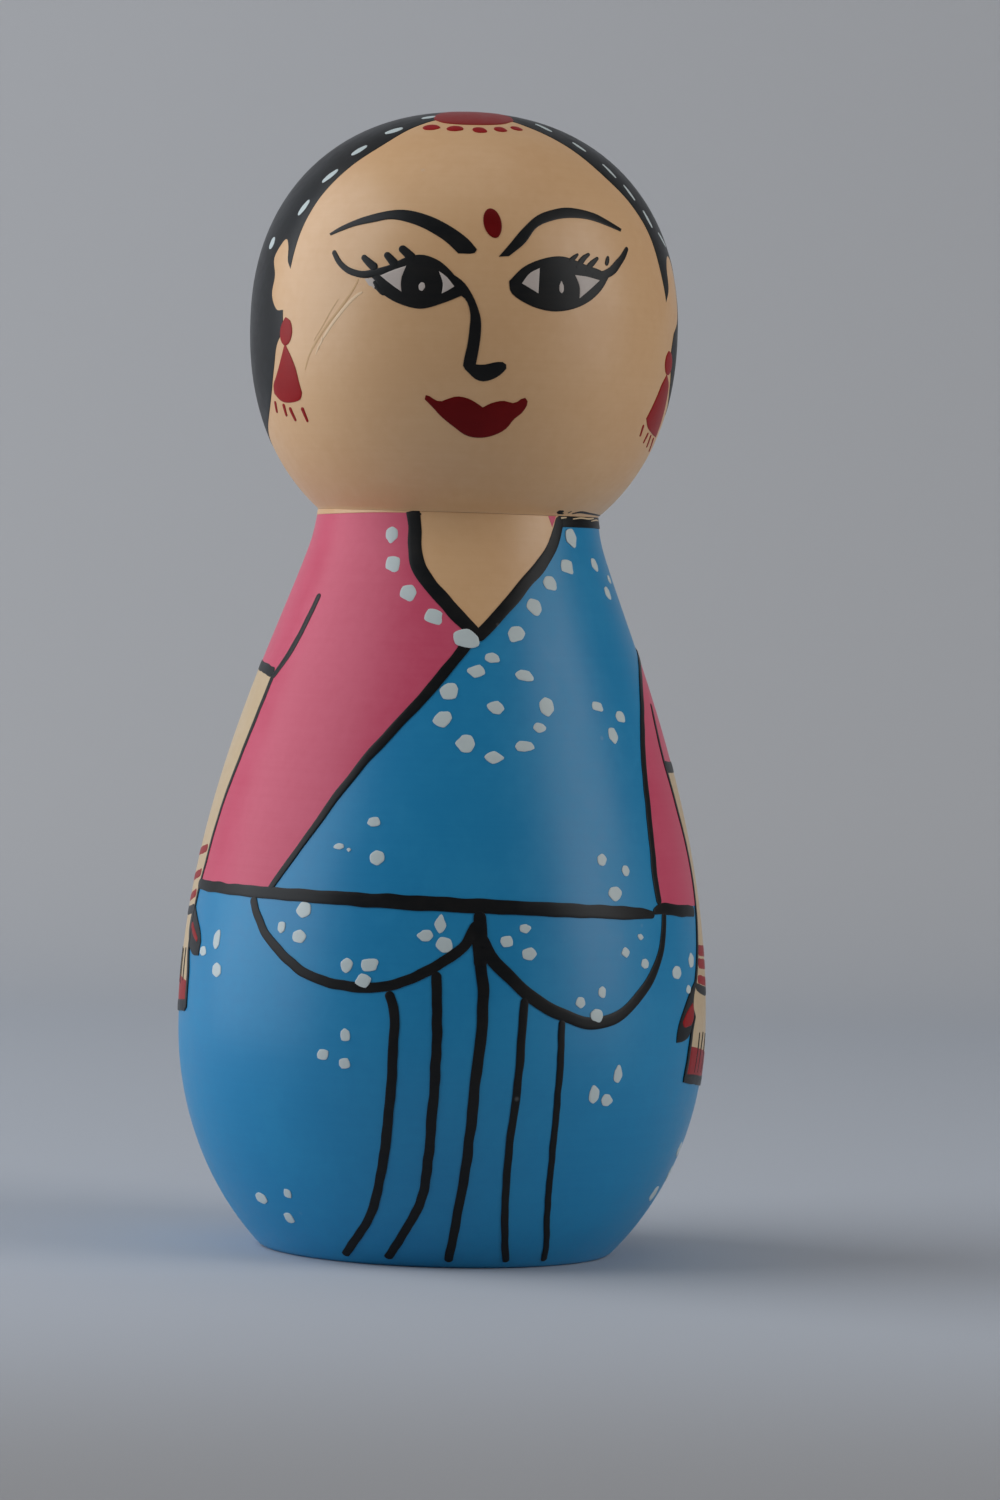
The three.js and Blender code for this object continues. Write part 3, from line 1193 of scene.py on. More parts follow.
@dataclass
class Hair:
    """Black hair drawn back to the nape, with white dashes along it and a red disc at the parting."""

    painter: Painter
    hairline: tuple[Place, ...] = (
        (-62.5, 25.9), (-61.8, 30.2), (-59.5, 33.7), (-54, 37.1), (-46, 39.8), (-38, 42.2), (-25, 43.3),
        (0, 43.6), (18, 43.4), (30, 42.4), (40, 40.5), (47.5, 37.4), (54.5, 34.4), (58.5, 31.3),
        (60, 27.3), (62, 23.8),
    )
    right_ear: tuple[Place, ...] = (
        (62, 23.8), (65, 25.2), (66.5, 27.6), (71, 29.0), (77, 28.8), (82, 27.2), (82, 24.6), (77.5, 22.2),
        (69.5, 20.4),
    )
    nape: tuple[Place, ...] = (
        (69.5, 20.4), (67.5, 18.2), (70.5, 15.8), (74, 13.7), (81, 12), (95, 9), (115, 5), (145, 2.6),
        (180, 2.2), (215, 2.8), (240, 4.4), (262, 6.8), (278, 9.5), (286, 12), (290.5, 15), (293, 17.6),
        (296, 19.2), (296, 21.4),
    )
    left_ear: tuple[Place, ...] = (
        (-64, 21.4), (-67.5, 21.5), (-70.8, 23.2), (-70.4, 25.2), (-73.2, 27.2), (-71.5, 28.4),
        (-68.6, 29.3), (-66, 28.3), (-64.6, 26.8), (-62.5, 25.9),
    )
    dashes: tuple[tuple[Place, Place, float], ...] = (
        ((-45, 43.2), (-36.5, 43.5), 1.2), ((-53, 41.3), (-45.4, 41.9), 1.3),
        ((-58.5, 38.7), (-54.6, 39.8), 1.15),
        ((-63.2, 35.6), (-58.9, 37.0), 1.05), ((-66.8, 31.9), (-64.4, 33.6), 1.0),
        ((-79.5, 28.4), (-77, 29.5), 1.5),
        ((43.5, 43.1), (44.4, 42.2), 0.8), ((49.3, 41.1), (51.2, 40.1), 0.75),
        ((54.6, 38.8), (56.2, 37.3), 0.65),
        ((58.3, 36.6), (59.7, 34.9), 0.65), ((62.2, 33.9), (63.7, 32), 0.75), ((68.5, 31.6), (74, 30.2), 0.6),
    )
    beads: tuple[Dot, ...] = (
        Dot(-29, 42, 1.95, 1.5, 350, 0.15, 0.1), Dot(-15.7, 41.9, 1.75, 1.5, 340, 0.15, 0.1),
        Dot(-2.9, 41.8, 1.6, 1.45, 330, 0.15, 0.1), Dot(8.4, 42, 1.45, 1.3, 330, 0.15, 0.1),
        Dot(18.8, 42.25, 1.25, 1.2, 330, 0.15, 0.1),
    )
    disc_front: tuple[Place, ...] = (
        (-5.2, -8), (-4.4, -9.8), (-2.6, -10.9), (0, -11.1), (2.2, -10.3), (3.8, -8.2),
    )
    disc_back: tuple[Place, ...] = (
        (3.8, -8.2), (3.6, -5.5), (2.2, -2.8), (-0.6, -1.8), (-3.2, -3.2), (-4.8, -6), (-5.2, -8),
    )
    dash_taper: float = 0.55  # width of a dash's ends, as a share of its middle

    def build(self) -> None:
        """Paints the hair, the dashes, the disc and its beads."""
        edges = [list(self.hairline), list(self.right_ear), list(self.nape), list(self.left_ear)]
        self.painter.area("hair", edges, BLACK, spacing=1.1, crown=True)
        strokes = [self.dash(*dash) for dash in self.dashes]
        self.painter.lines("hair_dashes", strokes, WHITE, Coat.SECOND)
        chart = CrownChart(self.painter.surface)
        disc = [np.array(self.disc_front), np.array(self.disc_back)]
        self.painter.fill("parting_disc", disc, chart, DULL_RED, Coat.SECOND, FULL, 0.6)
        self.painter.dots("parting_beads", list(self.beads), RED, Coat.SECOND, seed=8)

    def dash(self, start: Place, end: Place, width: float) -> Stroke:
        """Returns one dash, fullest at its middle."""
        middle = ((start[0] + end[0]) / 2, (start[1] + end[1]) / 2)
        return Stroke((start, middle, end), (self.dash_taper * width, width, self.dash_taper * width))


@dataclass
class Face:
    """Brows, eyes, nose, mouth and the mark between the brows."""

    painter: Painter

    def build(self) -> None:
        """Paints the face."""
        self.brows()
        self.left_eye()
        self.right_eye()
        self.nose_and_mouth()
        self.cheek_scratch()

    def brows(self) -> None:
        """Paints the two arched brows."""
        self.painter.area(
            "brow_left",
            [
                [(-49.2, 29.7), (-45.5, 30.5), (-37, 31.7), (-27, 32.35), (-19, 31.8), (-12.5, 30.7),
                 (-7.2, 29.3), (-4.7, 28.2)],
                [(-4.7, 28.2), (-5.3, 27.8), (-9.7, 27.7)],
                [(-9.7, 27.7), (-13.1, 28.9), (-16.8, 29.8), (-22, 30.7), (-29.5, 31.3), (-35, 30.95),
                 (-41, 30.5), (-48.6, 29.5)],
            ],
            BLACK, Coat.SECOND, spacing=0.5,
        )
        self.painter.area(
            "brow_right",
            [
                [(1.2, 27.5), (4, 28.8), (8, 30.6), (13, 32.2), (18.8, 33), (24, 33.3), (33, 32.9),
                 (38, 32.2), (43, 31.4)],
                [(42.2, 31.1), (37, 31.6), (31, 32.1), (25, 32.2), (19, 31.9), (12.5, 30.9),
                 (8.6, 29.1), (4, 27.6)],
            ],
            BLACK, Coat.SECOND, spacing=0.5,
        )

    def left_eye(self) -> None:
        """Paints the eye on the viewer's left."""
        self.painter.area(
            "eye_left",
            [
                [(-33.5, 25.7), (-28, 26.3), (-24, 27.1), (-19.5, 27.45), (-15, 26.9), (-11.8, 25.9),
                 (-8, 24.1)],
                [(-8, 23.2), (-13, 22.3), (-19, 21.6), (-25.5, 22.2), (-32, 23.7)],
                [(-31.5, 24.4), (-33, 24.9)],
            ],
            BLACK, Coat.SECOND, spacing=0.5,
        )
        self.painter.area(
            "eye_left_white_outer",
            [[(-30.5, 25.1), (-27, 25.7), (-23.5, 26.2)], [(-24.5, 25), (-24.6, 24.2), (-24.3, 23.4)],
             [(-24.3, 23.4), (-27, 24.1), (-30.5, 25.1)]],
            EYE_WHITE_AND_HIGHLIGHT, Coat.LINE, spacing=0.4,
        )
        self.painter.area(
            "eye_left_white_inner",
            [[(-14.6, 25.7), (-12.5, 25.1), (-10.4, 24.1)], [(-10.4, 24.1), (-11.8, 23.7), (-13.6, 23.3)],
             [(-13.6, 23.3), (-13.4, 24.4), (-14.6, 25.7)]],
            EYE_WHITE_AND_HIGHLIGHT, Coat.LINE, spacing=0.4,
        )
        self.painter.area(
            "eye_left_rub",
            [[(-35.1, 24.75), (-32.4, 24.8), (-31.2, 24.1), (-31.6, 23.5), (-32.6, 23.9), (-33.6, 24)]],
            EYE_WHITE_AND_HIGHLIGHT, Coat.GROUND, WASH, 0.4,
        )
        # A pale dot in the pupil: a painted highlight, the reflection of the light in the eye.
        self.painter.dots("eye_left_painted_highlight", [Dot(-18.9, 24, 0.68, 0.9, drawn=0.1)], EYE_WHITE_AND_HIGHLIGHT, seed=3)
        self.painter.lines(
            "lashes_left",
            [
                Stroke(((-36.6, 27.25), (-34.6, 26.6), (-31.8, 25.8)), (0.6, 0.8, 1.0)),
                Stroke(((-29.8, 27.6), (-28.3, 27), (-26.2, 26.1)), (0.7, 0.9, 1.05)),
                Stroke(((-25.8, 28.3), (-24, 27.7), (-21.4, 26.8)), (0.8, 0.95, 1.05)),
                Stroke(((-46.4, 27.8), (-43.3, 26.4), (-40, 25.6), (-36.6, 25.25), (-33, 25.3),
                        (-28.5, 25.7)), (0.55, 0.9)),
                Stroke(((-32.3, 24.5), (-30.5, 23.6), (-28.5, 23.2)), (0.35, 0.9)),
            ],
            BLACK, Coat.SECOND,
        )

    def right_eye(self) -> None:
        """Paints the eye on the viewer's right."""
        self.painter.area(
            "eye_right",
            [
                [(4, 24.9), (8, 26.5), (14, 27.55), (19.5, 27.85), (26.5, 27.1), (32, 26.5), (34, 25.9)],
                [(34, 25.9), (31, 24.4), (26.5, 23), (21, 22.1), (15.5, 21.85), (9.5, 22.4),
                 (4.5, 23.7), (4, 24.9)],
            ],
            BLACK, Coat.SECOND, spacing=0.5,
        )
        self.painter.area(
            "eye_right_white_inner",
            [[(7.4, 24.7), (9.5, 25.8), (12.4, 26.45)], [(12.4, 26.45), (12.1, 25), (11.9, 23.7)],
             [(11.9, 23.7), (9.7, 24.2), (7.4, 24.7)]],
            EYE_WHITE_AND_HIGHLIGHT, Coat.LINE, spacing=0.4,
        )
        self.painter.area(
            "eye_right_white_outer",
            [[(22.8, 25.9), (26.5, 25.8), (30.7, 25.5)], [(30.7, 25.5), (27.5, 24.5), (23.9, 23.4)],
             [(23.9, 23.4), (24, 24.7), (22.8, 25.9)]],
            EYE_WHITE_AND_HIGHLIGHT, Coat.LINE, spacing=0.4,
        )
        # A pale dot in the pupil: a painted highlight, the reflection of the light in the eye.
        self.painter.dots("eye_right_painted_highlight", [Dot(18.5, 24.4, 0.52, 1.15, 90, 0.35)], EYE_WHITE_AND_HIGHLIGHT, seed=4)
        self.painter.lines(
            "lashes_right",
            [
                Stroke(((24.4, 28.25), (23.2, 27.9), (21.2, 27.3)), (0.22, 0.5, 0.5)),
                Stroke(((28.2, 28.35), (26.3, 27.9), (24.2, 27), (23.2, 26.6)), (0.32, 0.72, 0.6)),
                Stroke(((31, 28), (29.3, 27.5), (27.2, 26.8), (26.4, 26.2)), (0.3, 0.7, 0.6)),
                Stroke(((34.8, 28.25), (34.2, 27.7), (33.5, 27.2)), (0.28, 0.55, 0.4)),
                Stroke(((28, 25.9), (31.6, 26.1), (35.2, 26.6), (38.6, 27.6), (42, 28.8), (43.5, 29.4)),
                       (0.9, 0.95, 0.4)),
            ],
            BLACK, Coat.SECOND,
        )

    def nose_and_mouth(self) -> None:
        """Paints the nose, which runs on from the eye, the lips and the mark on the brow."""
        self.painter.area(
            "nose",
            [
                [(-11.5, 25.6), (-8, 24.6), (-5.7, 23.3), (-4.2, 22), (-3.2, 20.6), (-3.1, 19.1),
                 (-3.5, 17.4), (-4.1, 15.8)],
                [(-4.1, 15.8), (-1.9, 15.8), (1, 16.1), (3, 16.15), (4.2, 15.7), (3.3, 15.1),
                 (1.2, 14.4), (-1.9, 14),
                 (-4, 14.2), (-6, 14.9), (-7.4, 15.5), (-7.2, 16.4), (-6.5, 17.9), (-6.1, 19.6),
                 (-6, 21.2), (-7, 22.5),
                 (-8.4, 23.1), (-12, 23.5)],
            ],
            BLACK, Coat.SECOND, spacing=0.5,
        )
        self.painter.area(
            "lips",
            [
                [(-17.6, 11.9), (-17.1, 12.4), (-15.4, 12), (-13.4, 11.7), (-11.3, 12), (-8.7, 12.3),
                 (-5.7, 12.1), (-3.2, 11.6),
                 (-1.7, 11.2)],
                [(-1.7, 11.2), (0.6, 11.7), (3.8, 12), (7, 11.8), (8.9, 12.3), (10, 12.4), (10.7, 11.9),
                 (9.4, 10.8),
                 (7.4, 10.1), (5.3, 9), (2.2, 8.3), (-1.8, 7.95), (-5.9, 8.15), (-9.2, 8.95),
                 (-13.1, 10.1), (-15.3, 11),
                 (-17.6, 11.9)],
            ],
            DEEP_RED, Coat.SECOND, FULL, 0.5,
        )
        self.painter.dots("brow_mark", [Dot(-0.4, 31.2, 2.05, 3.35, 280, 0.06, 0.0, 9.0)], DEEP_RED,
                          Coat.SECOND, seed=5)

    def cheek_scratch(self) -> None:
        """Draws a fine scratch in the lacquer: two grooves coloured darker brown as painted shade, the pale
        ridge beside them, whose pale colour is worn paint and painted highlight together, and chips.
        """
        fine = Load(thickness=0.02, rim=0.15)
        # Painted shade: the grooves are drawn in a darker brown where shade falls in them.
        self.painter.lines(
            "cheek_scratch_painted_shade",
            [
                Stroke(((-36.9, 24.7), (-38.4, 23.5), (-41.7, 21.7), (-45.9, 19.8), (-49.8, 18),
                        (-52.7, 16.4), (-54.7, 14.8)),
                       (0.22, 0.32, 0.32, 0.16)),
                Stroke(((-42.7, 22.5), (-45.3, 21.1), (-47.5, 19.7), (-50.8, 18)), (0.1, 0.2, 0.1)),
            ],
            SCRATCH_SHADE, Coat.GROUND, fine,
        )
        # Painted highlight on the lit ridge beside the grooves, over its pale worn paint.
        self.painter.lines(
            "cheek_scratch_ridge_highlight",
            [Stroke(((-35.4, 23.3), (-37.6, 22.75), (-40.3, 21.7), (-44.3, 19.9), (-47.9, 18),
                     (-50.3, 16.5)), (0.22, 0.4, 0.36, 0.12))],
            SCUFF_AND_HIGHLIGHT, Coat.GROUND, fine,
        )
        self.painter.dots(
            "cheek_chips", [Dot(-47.8, 18.2, 0.3, 0.4, 60), Dot(-49.2, 17.2, 0.25, 0.36, 40)], SCUFF_AND_HIGHLIGHT,
            Coat.SECOND, fine, 6
        )


@dataclass
class Earring:
    """A red drop earring: a round stud, a bell below it and short tassels."""

    painter: Painter
    side: str
    stud: tuple[Place, ...]
    bell: tuple[tuple[Place, ...], ...]
    tassels: tuple[tuple[Place, Place], ...]
    tassel_width: float

    def build(self) -> None:
        """Paints the earring."""
        self.painter.area(f"earring_{self.side}_stud", [list(self.stud)], RED, Coat.SECOND, FULL, 0.5)
        self.painter.area(
            f"earring_{self.side}_bell", [list(edge) for edge in self.bell], RED, Coat.SECOND, FULL, 0.6
        )
        strokes = [Stroke(ends, (self.tassel_width, 0.7 * self.tassel_width)) for ends in self.tassels]
        self.painter.lines(f"earring_{self.side}_tassels", strokes, RED, Coat.SECOND)


# --- The body -----------------------------------------------------------------------------------


@dataclass
class BodyTurning:
    """The pear of the body, blue outside, with the dowel glued into it."""

    surface: TurnedSurface
    underside: float = 0.01  # heights up to this are the bare underside
    mark_reach: float = 2.0  # the lathe centre's mark lies within this
    shoulder_edge: float = 0.1

    def build(self) -> None:
        """Turns the body again with a smooth outline, in place of its CAD node."""
        piece = self.surface.turn("body_turning")
        piece.data.materials.append(BLUE.material())
        piece.data.materials.append(WOOD.material())
        top = float(self.surface.heights[-1])
        for face in piece.data.polygons:
            reach = face.center.xy.length / MM
            height = face.center.z / MM
            under = height < self.underside or (reach < self.mark_reach and height < self.mark_reach)
            hole = reach < self.surface.radii[-1] - self.shoulder_edge and height > top / 2
            face.material_index = int(under or hole)
        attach(piece, "body")
        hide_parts("body")
        log.info("body_turning: %d faces", len(piece.data.polygons))


@dataclass
class Neckline:
    """The bare neck in its black-edged V, the cream ledge above the cloth, and the collar."""

    painter: Painter
    crease: float = 82.4
    left_edge: tuple[Place, ...] = (
        (-26, 82.4), (-24.5, 80.5), (-24, 78.7), (-21.5, 76.4), (-17, 74.6), (-11, 72.6), (-6, 71),
        (-0.5, 69),
    )
    right_edge: tuple[Place, ...] = (
        (38.5, 82.3), (36, 80.7), (31.5, 78.7), (25, 76.8), (18, 74.9), (12, 73), (7, 71.3), (2.5, 69.8),
        (-1, 68.6),
    )

    def build(self) -> None:
        """Paints the neck, its edges and the collar band."""
        neck = [list(self.left_edge), list(reversed(self.right_edge)),
                [(38.5, self.crease), (-26, self.crease)]]
        self.painter.area("neck_skin", neck, SKIN, spacing=1.0)
        ledge = [
            [(-22, self.crease), (-22, 82.2)],
            [(-22, 82.2), (-40, 82.15), (-60, 81.95), (-82, 81.8), (-120, 81.7), (-180, 81.8), (-279, 82)],
            [(-279, 82), (-279, self.crease)],
            [(-279, self.crease), (-22, self.crease)],
        ]
        self.painter.area("neck_ledge", ledge, SKIN, Coat.SECOND, Load(0.03, 0.12), 0.5)
        frayed = [
            Stroke(((-25.5, 82.15), (-22.4, 82.05)), (0.4, 0.3)),
            Stroke(((-25, 81.1), (-22.2, 80.85)), (0.5, 0.25)),
        ]
        left = Stroke(self.left_edge, (1.5, 1.6, 1.5), square_start=True)
        self.painter.lines("neckline_left", [left, *frayed], BLACK)
        self.painter.lines("neckline_right", [Stroke(self.right_edge, (1.25, 1.4, 1.35))], BLACK)
        band = [
            [(37.5, self.crease), (38.5, 81.2)],
            [(38.5, 81.2), (50, 81.2), (65, 81.2), (81, 81.2), (86, 81.5)],
            [(86, 81.5), (86, self.crease)],
            [(86, self.crease), (37.5, self.crease)],
        ]
        self.painter.area("collar_band", band, BLACK, Coat.LINE, spacing=0.5)
        # Pale strips along the collar's top edge: partly paint worn through to the cream, partly a painted
        # highlight where light catches the shoulder's edge.
        worn_and_lit_edge = [
            Stroke(((38.5, 82.15), (42, 82.25)), (0.22, 0.12)),
            Stroke(((46, 82.1), (52, 82.25), (59, 82.2), (66, 82.28)), (0.1, 0.2, 0.14)),
            Stroke(((62, 81.95), (70, 82.1), (76, 82.05)), (0.08, 0.16, 0.1)),
        ]
        self.painter.lines("collar_wear_and_highlight", worn_and_lit_edge, ARM, Coat.DETAIL, Load(0.012, 0.1))


@dataclass
class RimSmudges:
    """Black paint from the collar, caught on the head's lower rim."""

    painter: Painter

    def build(self) -> None:
        """Paints the smudges, which go round with the head."""
        marks = [
            Stroke(((35.2, 0.2), (36.5, 0.33), (38.6, 0.25)), (0.5, 0.42)),
            Stroke(((36, 0.12), (39.5, 0.1)), (0.2,)),
            Stroke(((41.6, 0.2), (43, 0.42)), (0.24, 0.12)),
            Stroke(((44.5, 0.15), (49, 0.35), (58, 0.24), (70, 0.13), (80, 0.1)),
                   (0.18, 0.34, 0.28, 0.2, 0.14)),
        ]
        self.painter.lines("rim_smudges", marks, BLACK, Coat.GROUND, Load(0.015, 0.1))


@dataclass
class Blouse:
    """The pink blouse under the drape, at both sides of the chest, with its sleeves."""

    painter: Painter

    def build(self) -> None:
        """Paints the pink cloth and the drape's edge over it."""
        left_of_drape = [(-5, 67.7), (-12.5, 63.7), (-22, 59.1), (-33, 53), (-41, 47.3), (-50.5, 40.6)]
        self.painter.area(
            "blouse_left",
            [
                [(-26, 82.2), (-24.5, 80.5), (-24, 78.7), (-21.5, 76.4), (-17, 74.6), (-11, 72.6),
                 (-6, 71), (-1, 69)],
                [(-1, 69), (-5, 67.7)],
                left_of_drape,
                [(-50.5, 40.6), (-83, 40.6)],
                [(-83, 40.6), (-128, 40.6)],
                [(-128, 40.6), (-126, 50), (-121, 62), (-116, 73), (-113, 82)],
                [(-113, 82), (-82, 81.8), (-60, 81.95), (-40, 82.15), (-26, 82.2)],
            ],
            PINK, spacing=1.3,
        )
        right_edge = [
            (81, 67.3), (73, 66.1), (66.5, 64.3), (61.5, 62.1), (57.5, 59.9), (52.5, 55.8), (50, 51.1),
            (48.5, 46.4), (48, 42.3), (48.5, 40.2),
        ]
        self.painter.area(
            "blouse_right",
            [
                right_edge,
                [(48.5, 40.2), (72, 39.6)],
                [(72, 39.6), (118, 39.6)],
                [(118, 39.6), (116, 50), (110, 60), (103, 65), (92, 67.6), (81, 67.3)],
            ],
            PINK, spacing=1.3,
        )
        drape = ((-3, 68.4), (-8.5, 65.7), (-15.5, 62.2), (-24, 58.1), (-33, 53), (-41, 47.3), (-51, 40.4))
        self.painter.lines("drape_edge", [Stroke(drape, (1.25, 1.2, 1.1, 0.85, 0.7))], BLACK)
        self.painter.lines("drape_side_edge", [Stroke(tuple(right_edge), (0.9, 0.95, 1.0, 1.0))], BLACK)
        corner = [[(31.7, 82.35), (36, 82.35)], [(36, 82.35), (33.4, 81.1)], [(33.4, 81.1), (31.7, 82.35)]]
        self.painter.area("blouse_collar_corner", corner, PINK, Coat.SECOND, spacing=0.4)


@dataclass
class Skirt:
    """The lower drape: the waistband, two swags and the pleats that hang between them."""

    painter: Painter

    def build(self) -> None:
        """Paints the waistband, the swags and the pleats."""
        band = [
            Stroke(
                ((-84, 40.4), (-62, 40.4), (-40, 40.4), (-15, 40.25), (5, 40.05), (25, 39.7),
                 (40, 39.35), (46, 39.15)),
                (1.15, 1.25, 1.4, 1.6, 1.55, 1.5, 1.3, 0.8),
            ),
            Stroke(((45.8, 39.45), (49, 39.75), (56, 39.45), (68.5, 39.1)), (0.6, 1.2, 1.3, 1.25)),
        ]
        self.painter.lines("waistband", band, BLACK)
        swags = [
            Stroke(
                ((-55.5, 39.8), (-53.5, 38.2), (-50, 36.1), (-45.5, 34.3), (-39, 32.3), (-30, 31.1),
                 (-21, 31.1),
                 (-14, 32.2), (-7, 34.3), (-3, 36), (-0.5, 38.4)),
                (1.0, 1.1, 1.15),
            ),
            Stroke(
                ((0, 37), (2.5, 34.7), (6, 32.9), (12, 30.3), (19, 28.5), (27, 27.6), (34, 28.6), (41, 31.2),
                 (46, 33.9), (49, 37), (50, 39.3)),
                (1.45, 1.4, 1.2, 0.8),
            ),
            Stroke(((0, 39.6), (0.1, 36.5), (0.4, 33.4)), (1.4, 1.6, 1.4)),
        ]
        self.painter.lines("swags", swags, BLACK)
        pleats = [
            Stroke(((-19, 30.7), (-17.6, 28.5), (-17.5, 24.5), (-18, 19.1), (-19, 14.7), (-20.8, 10.3),
                    (-24.5, 5.9), (-31, 2.7), (-36, 0.9)), (1.05, 1.1, 0.9)),
            Stroke(((-9, 33), (-8.5, 27.8), (-8.5, 22.5), (-9, 17.1), (-9.6, 12.5), (-11, 8.2),
                    (-15, 4.7), (-21.8, 0.9)), (1.1, 1.1, 0.95)),
            Stroke(((0.2, 34.3), (1, 31), (0.9, 26.9), (0, 21.6), (-0.5, 16.2), (-1, 11.7), (-2, 6.5),
                    (-3.2, 0.8)), (1.3, 1.15, 0.95)),
            Stroke(((10, 30.4), (9.5, 25.9), (9, 19.9), (8.5, 14), (9.5, 8.4), (11.5, 4.3), (15, 0.8)),
                   (0.95, 0.85, 0.8)),
            Stroke(((18.5, 28), (18.5, 23.8), (18.5, 18.4), (19.5, 11.8), (22, 6.5), (28.5, 0.8)),
                   (0.8, 0.75, 0.7)),
        ]
        self.painter.lines("pleats", pleats, BLACK)


@dataclass
class LeftArm:
    """The arm on the viewer's left: sleeve, cuff, bangles and hand."""

    painter: Painter
    back: float = -104.0

    def build(self) -> None:
        """Paints the arm and what it wears."""
        inner = (
            (-72.5, 63.8), (-74, 59.2), (-76.2, 54.6), (-78.7, 50.4), (-80.3, 46.4), (-81.3, 42.6),
            (-83, 39.6),
            (-83.6, 37.8),
        )
        back = self.back
        self.painter.area(
            "arm_left",
            [
                list(inner),
                [(-83.6, 37.8), (-84, 34), (-82.5, 30.5), (-82, 26.6)],
                [(-82, 26.6), (-101, 26)],
                [(-101, 26), (back + 1, 31), (back, 37), (back, 50), (back, 64.4)],
                [(back, 64.4), (-72.5, 64.2)],
            ],
            ARM, Coat.SECOND, spacing=1.0,
        )
        self.painter.lines(
            "arm_left_edges",
            [
                Stroke(((-61.5, 73), (-63, 70.6), (-66.5, 66.7), (-70, 64.7), (-72.5, 63.6)),
                       (0.75, 1.0, 0.9)),
                Stroke(inner, (0.85, 0.65, 0.6)),
                Stroke(((back, 64.4), (back, 50), (back, 37), (back + 1, 31), (-101, 26.5)),
                       (0.8, 0.85, 0.8)),
            ],
            BLACK,
        )
        cuff = Stroke(((back, 64.8), (-88, 64.7), (-72.6, 64.1)), (1.1, 1.15))
        self.painter.lines("sleeve_cuff_left", [cuff], BLACK)
        bangles = [
            Stroke(((back + 0.5, 43.4), (-95, 43.7), (-82.5, 44.4)), (0.85, 0.95)),
            Stroke(((back + 0.5, 40.4), (-95, 40.8), (-83.5, 41.7)), (0.85, 0.95)),
            Stroke(((back + 0.5, 38.2), (-95, 38.5), (-84.5, 39.4)), (0.85, 0.95)),
        ]
        self.painter.lines("bangles_left", bangles, RED, load=WASH)
        wrist = Stroke(((back + 0.5, 37), (-94, 37.1), (-84, 37.6)), (1.0, 1.05))
        self.painter.lines("wrist_left", [wrist], BLACK)
        self.painter.area(
            "thumb_left",
            [
                [(-83.5, 38.1), (-79.5, 36.7), (-76.3, 35.4), (-75, 34.3)],
                [(-75, 34.3), (-75.5, 32.7)],
                [(-75.5, 32.7), (-79.5, 32.7), (-84, 33.7)],
                [(-84, 33.7), (-86, 35.4), (-85.5, 37.4)],
            ],
            BLACK, Coat.LINE, spacing=0.5,
        )
        nail = Stroke(((-83.3, 36), (-80, 35), (-77, 34.3)), (0.8, 0.75, 0.5))
        self.painter.lines("thumb_nail_left", [nail], RED, Coat.DETAIL)
        self.painter.area(
            "fingertips_left", [[(-81.8, 29.6), (-91, 29.9), (-101.5, 29.9)],
                                [(-101.5, 27.2), (-90, 27.2), (-82, 27.4)]],
            RED, Coat.LINE, spacing=0.6,
        )
        self.painter.lines(
            "finger_lines_left",
            [
                Stroke(((-83.6, 38), (-83.4, 33), (-81.8, 30.5), (-81.6, 26.6)), (0.6, 0.7, 0.8)),
                Stroke(((-86.8, 33.2), (-86.4, 29.5)), (0.35, 0.4)),
                Stroke(((-91, 33), (-90.5, 29)), (0.35, 0.4)),
                Stroke(((-96, 33), (-95.5, 29)), (0.35, 0.4)),
                Stroke(((-102, 26.4), (-92, 26.6), (-81.6, 27)), (1.2, 1.3)),
            ],
            BLACK, Coat.DETAIL,
        )


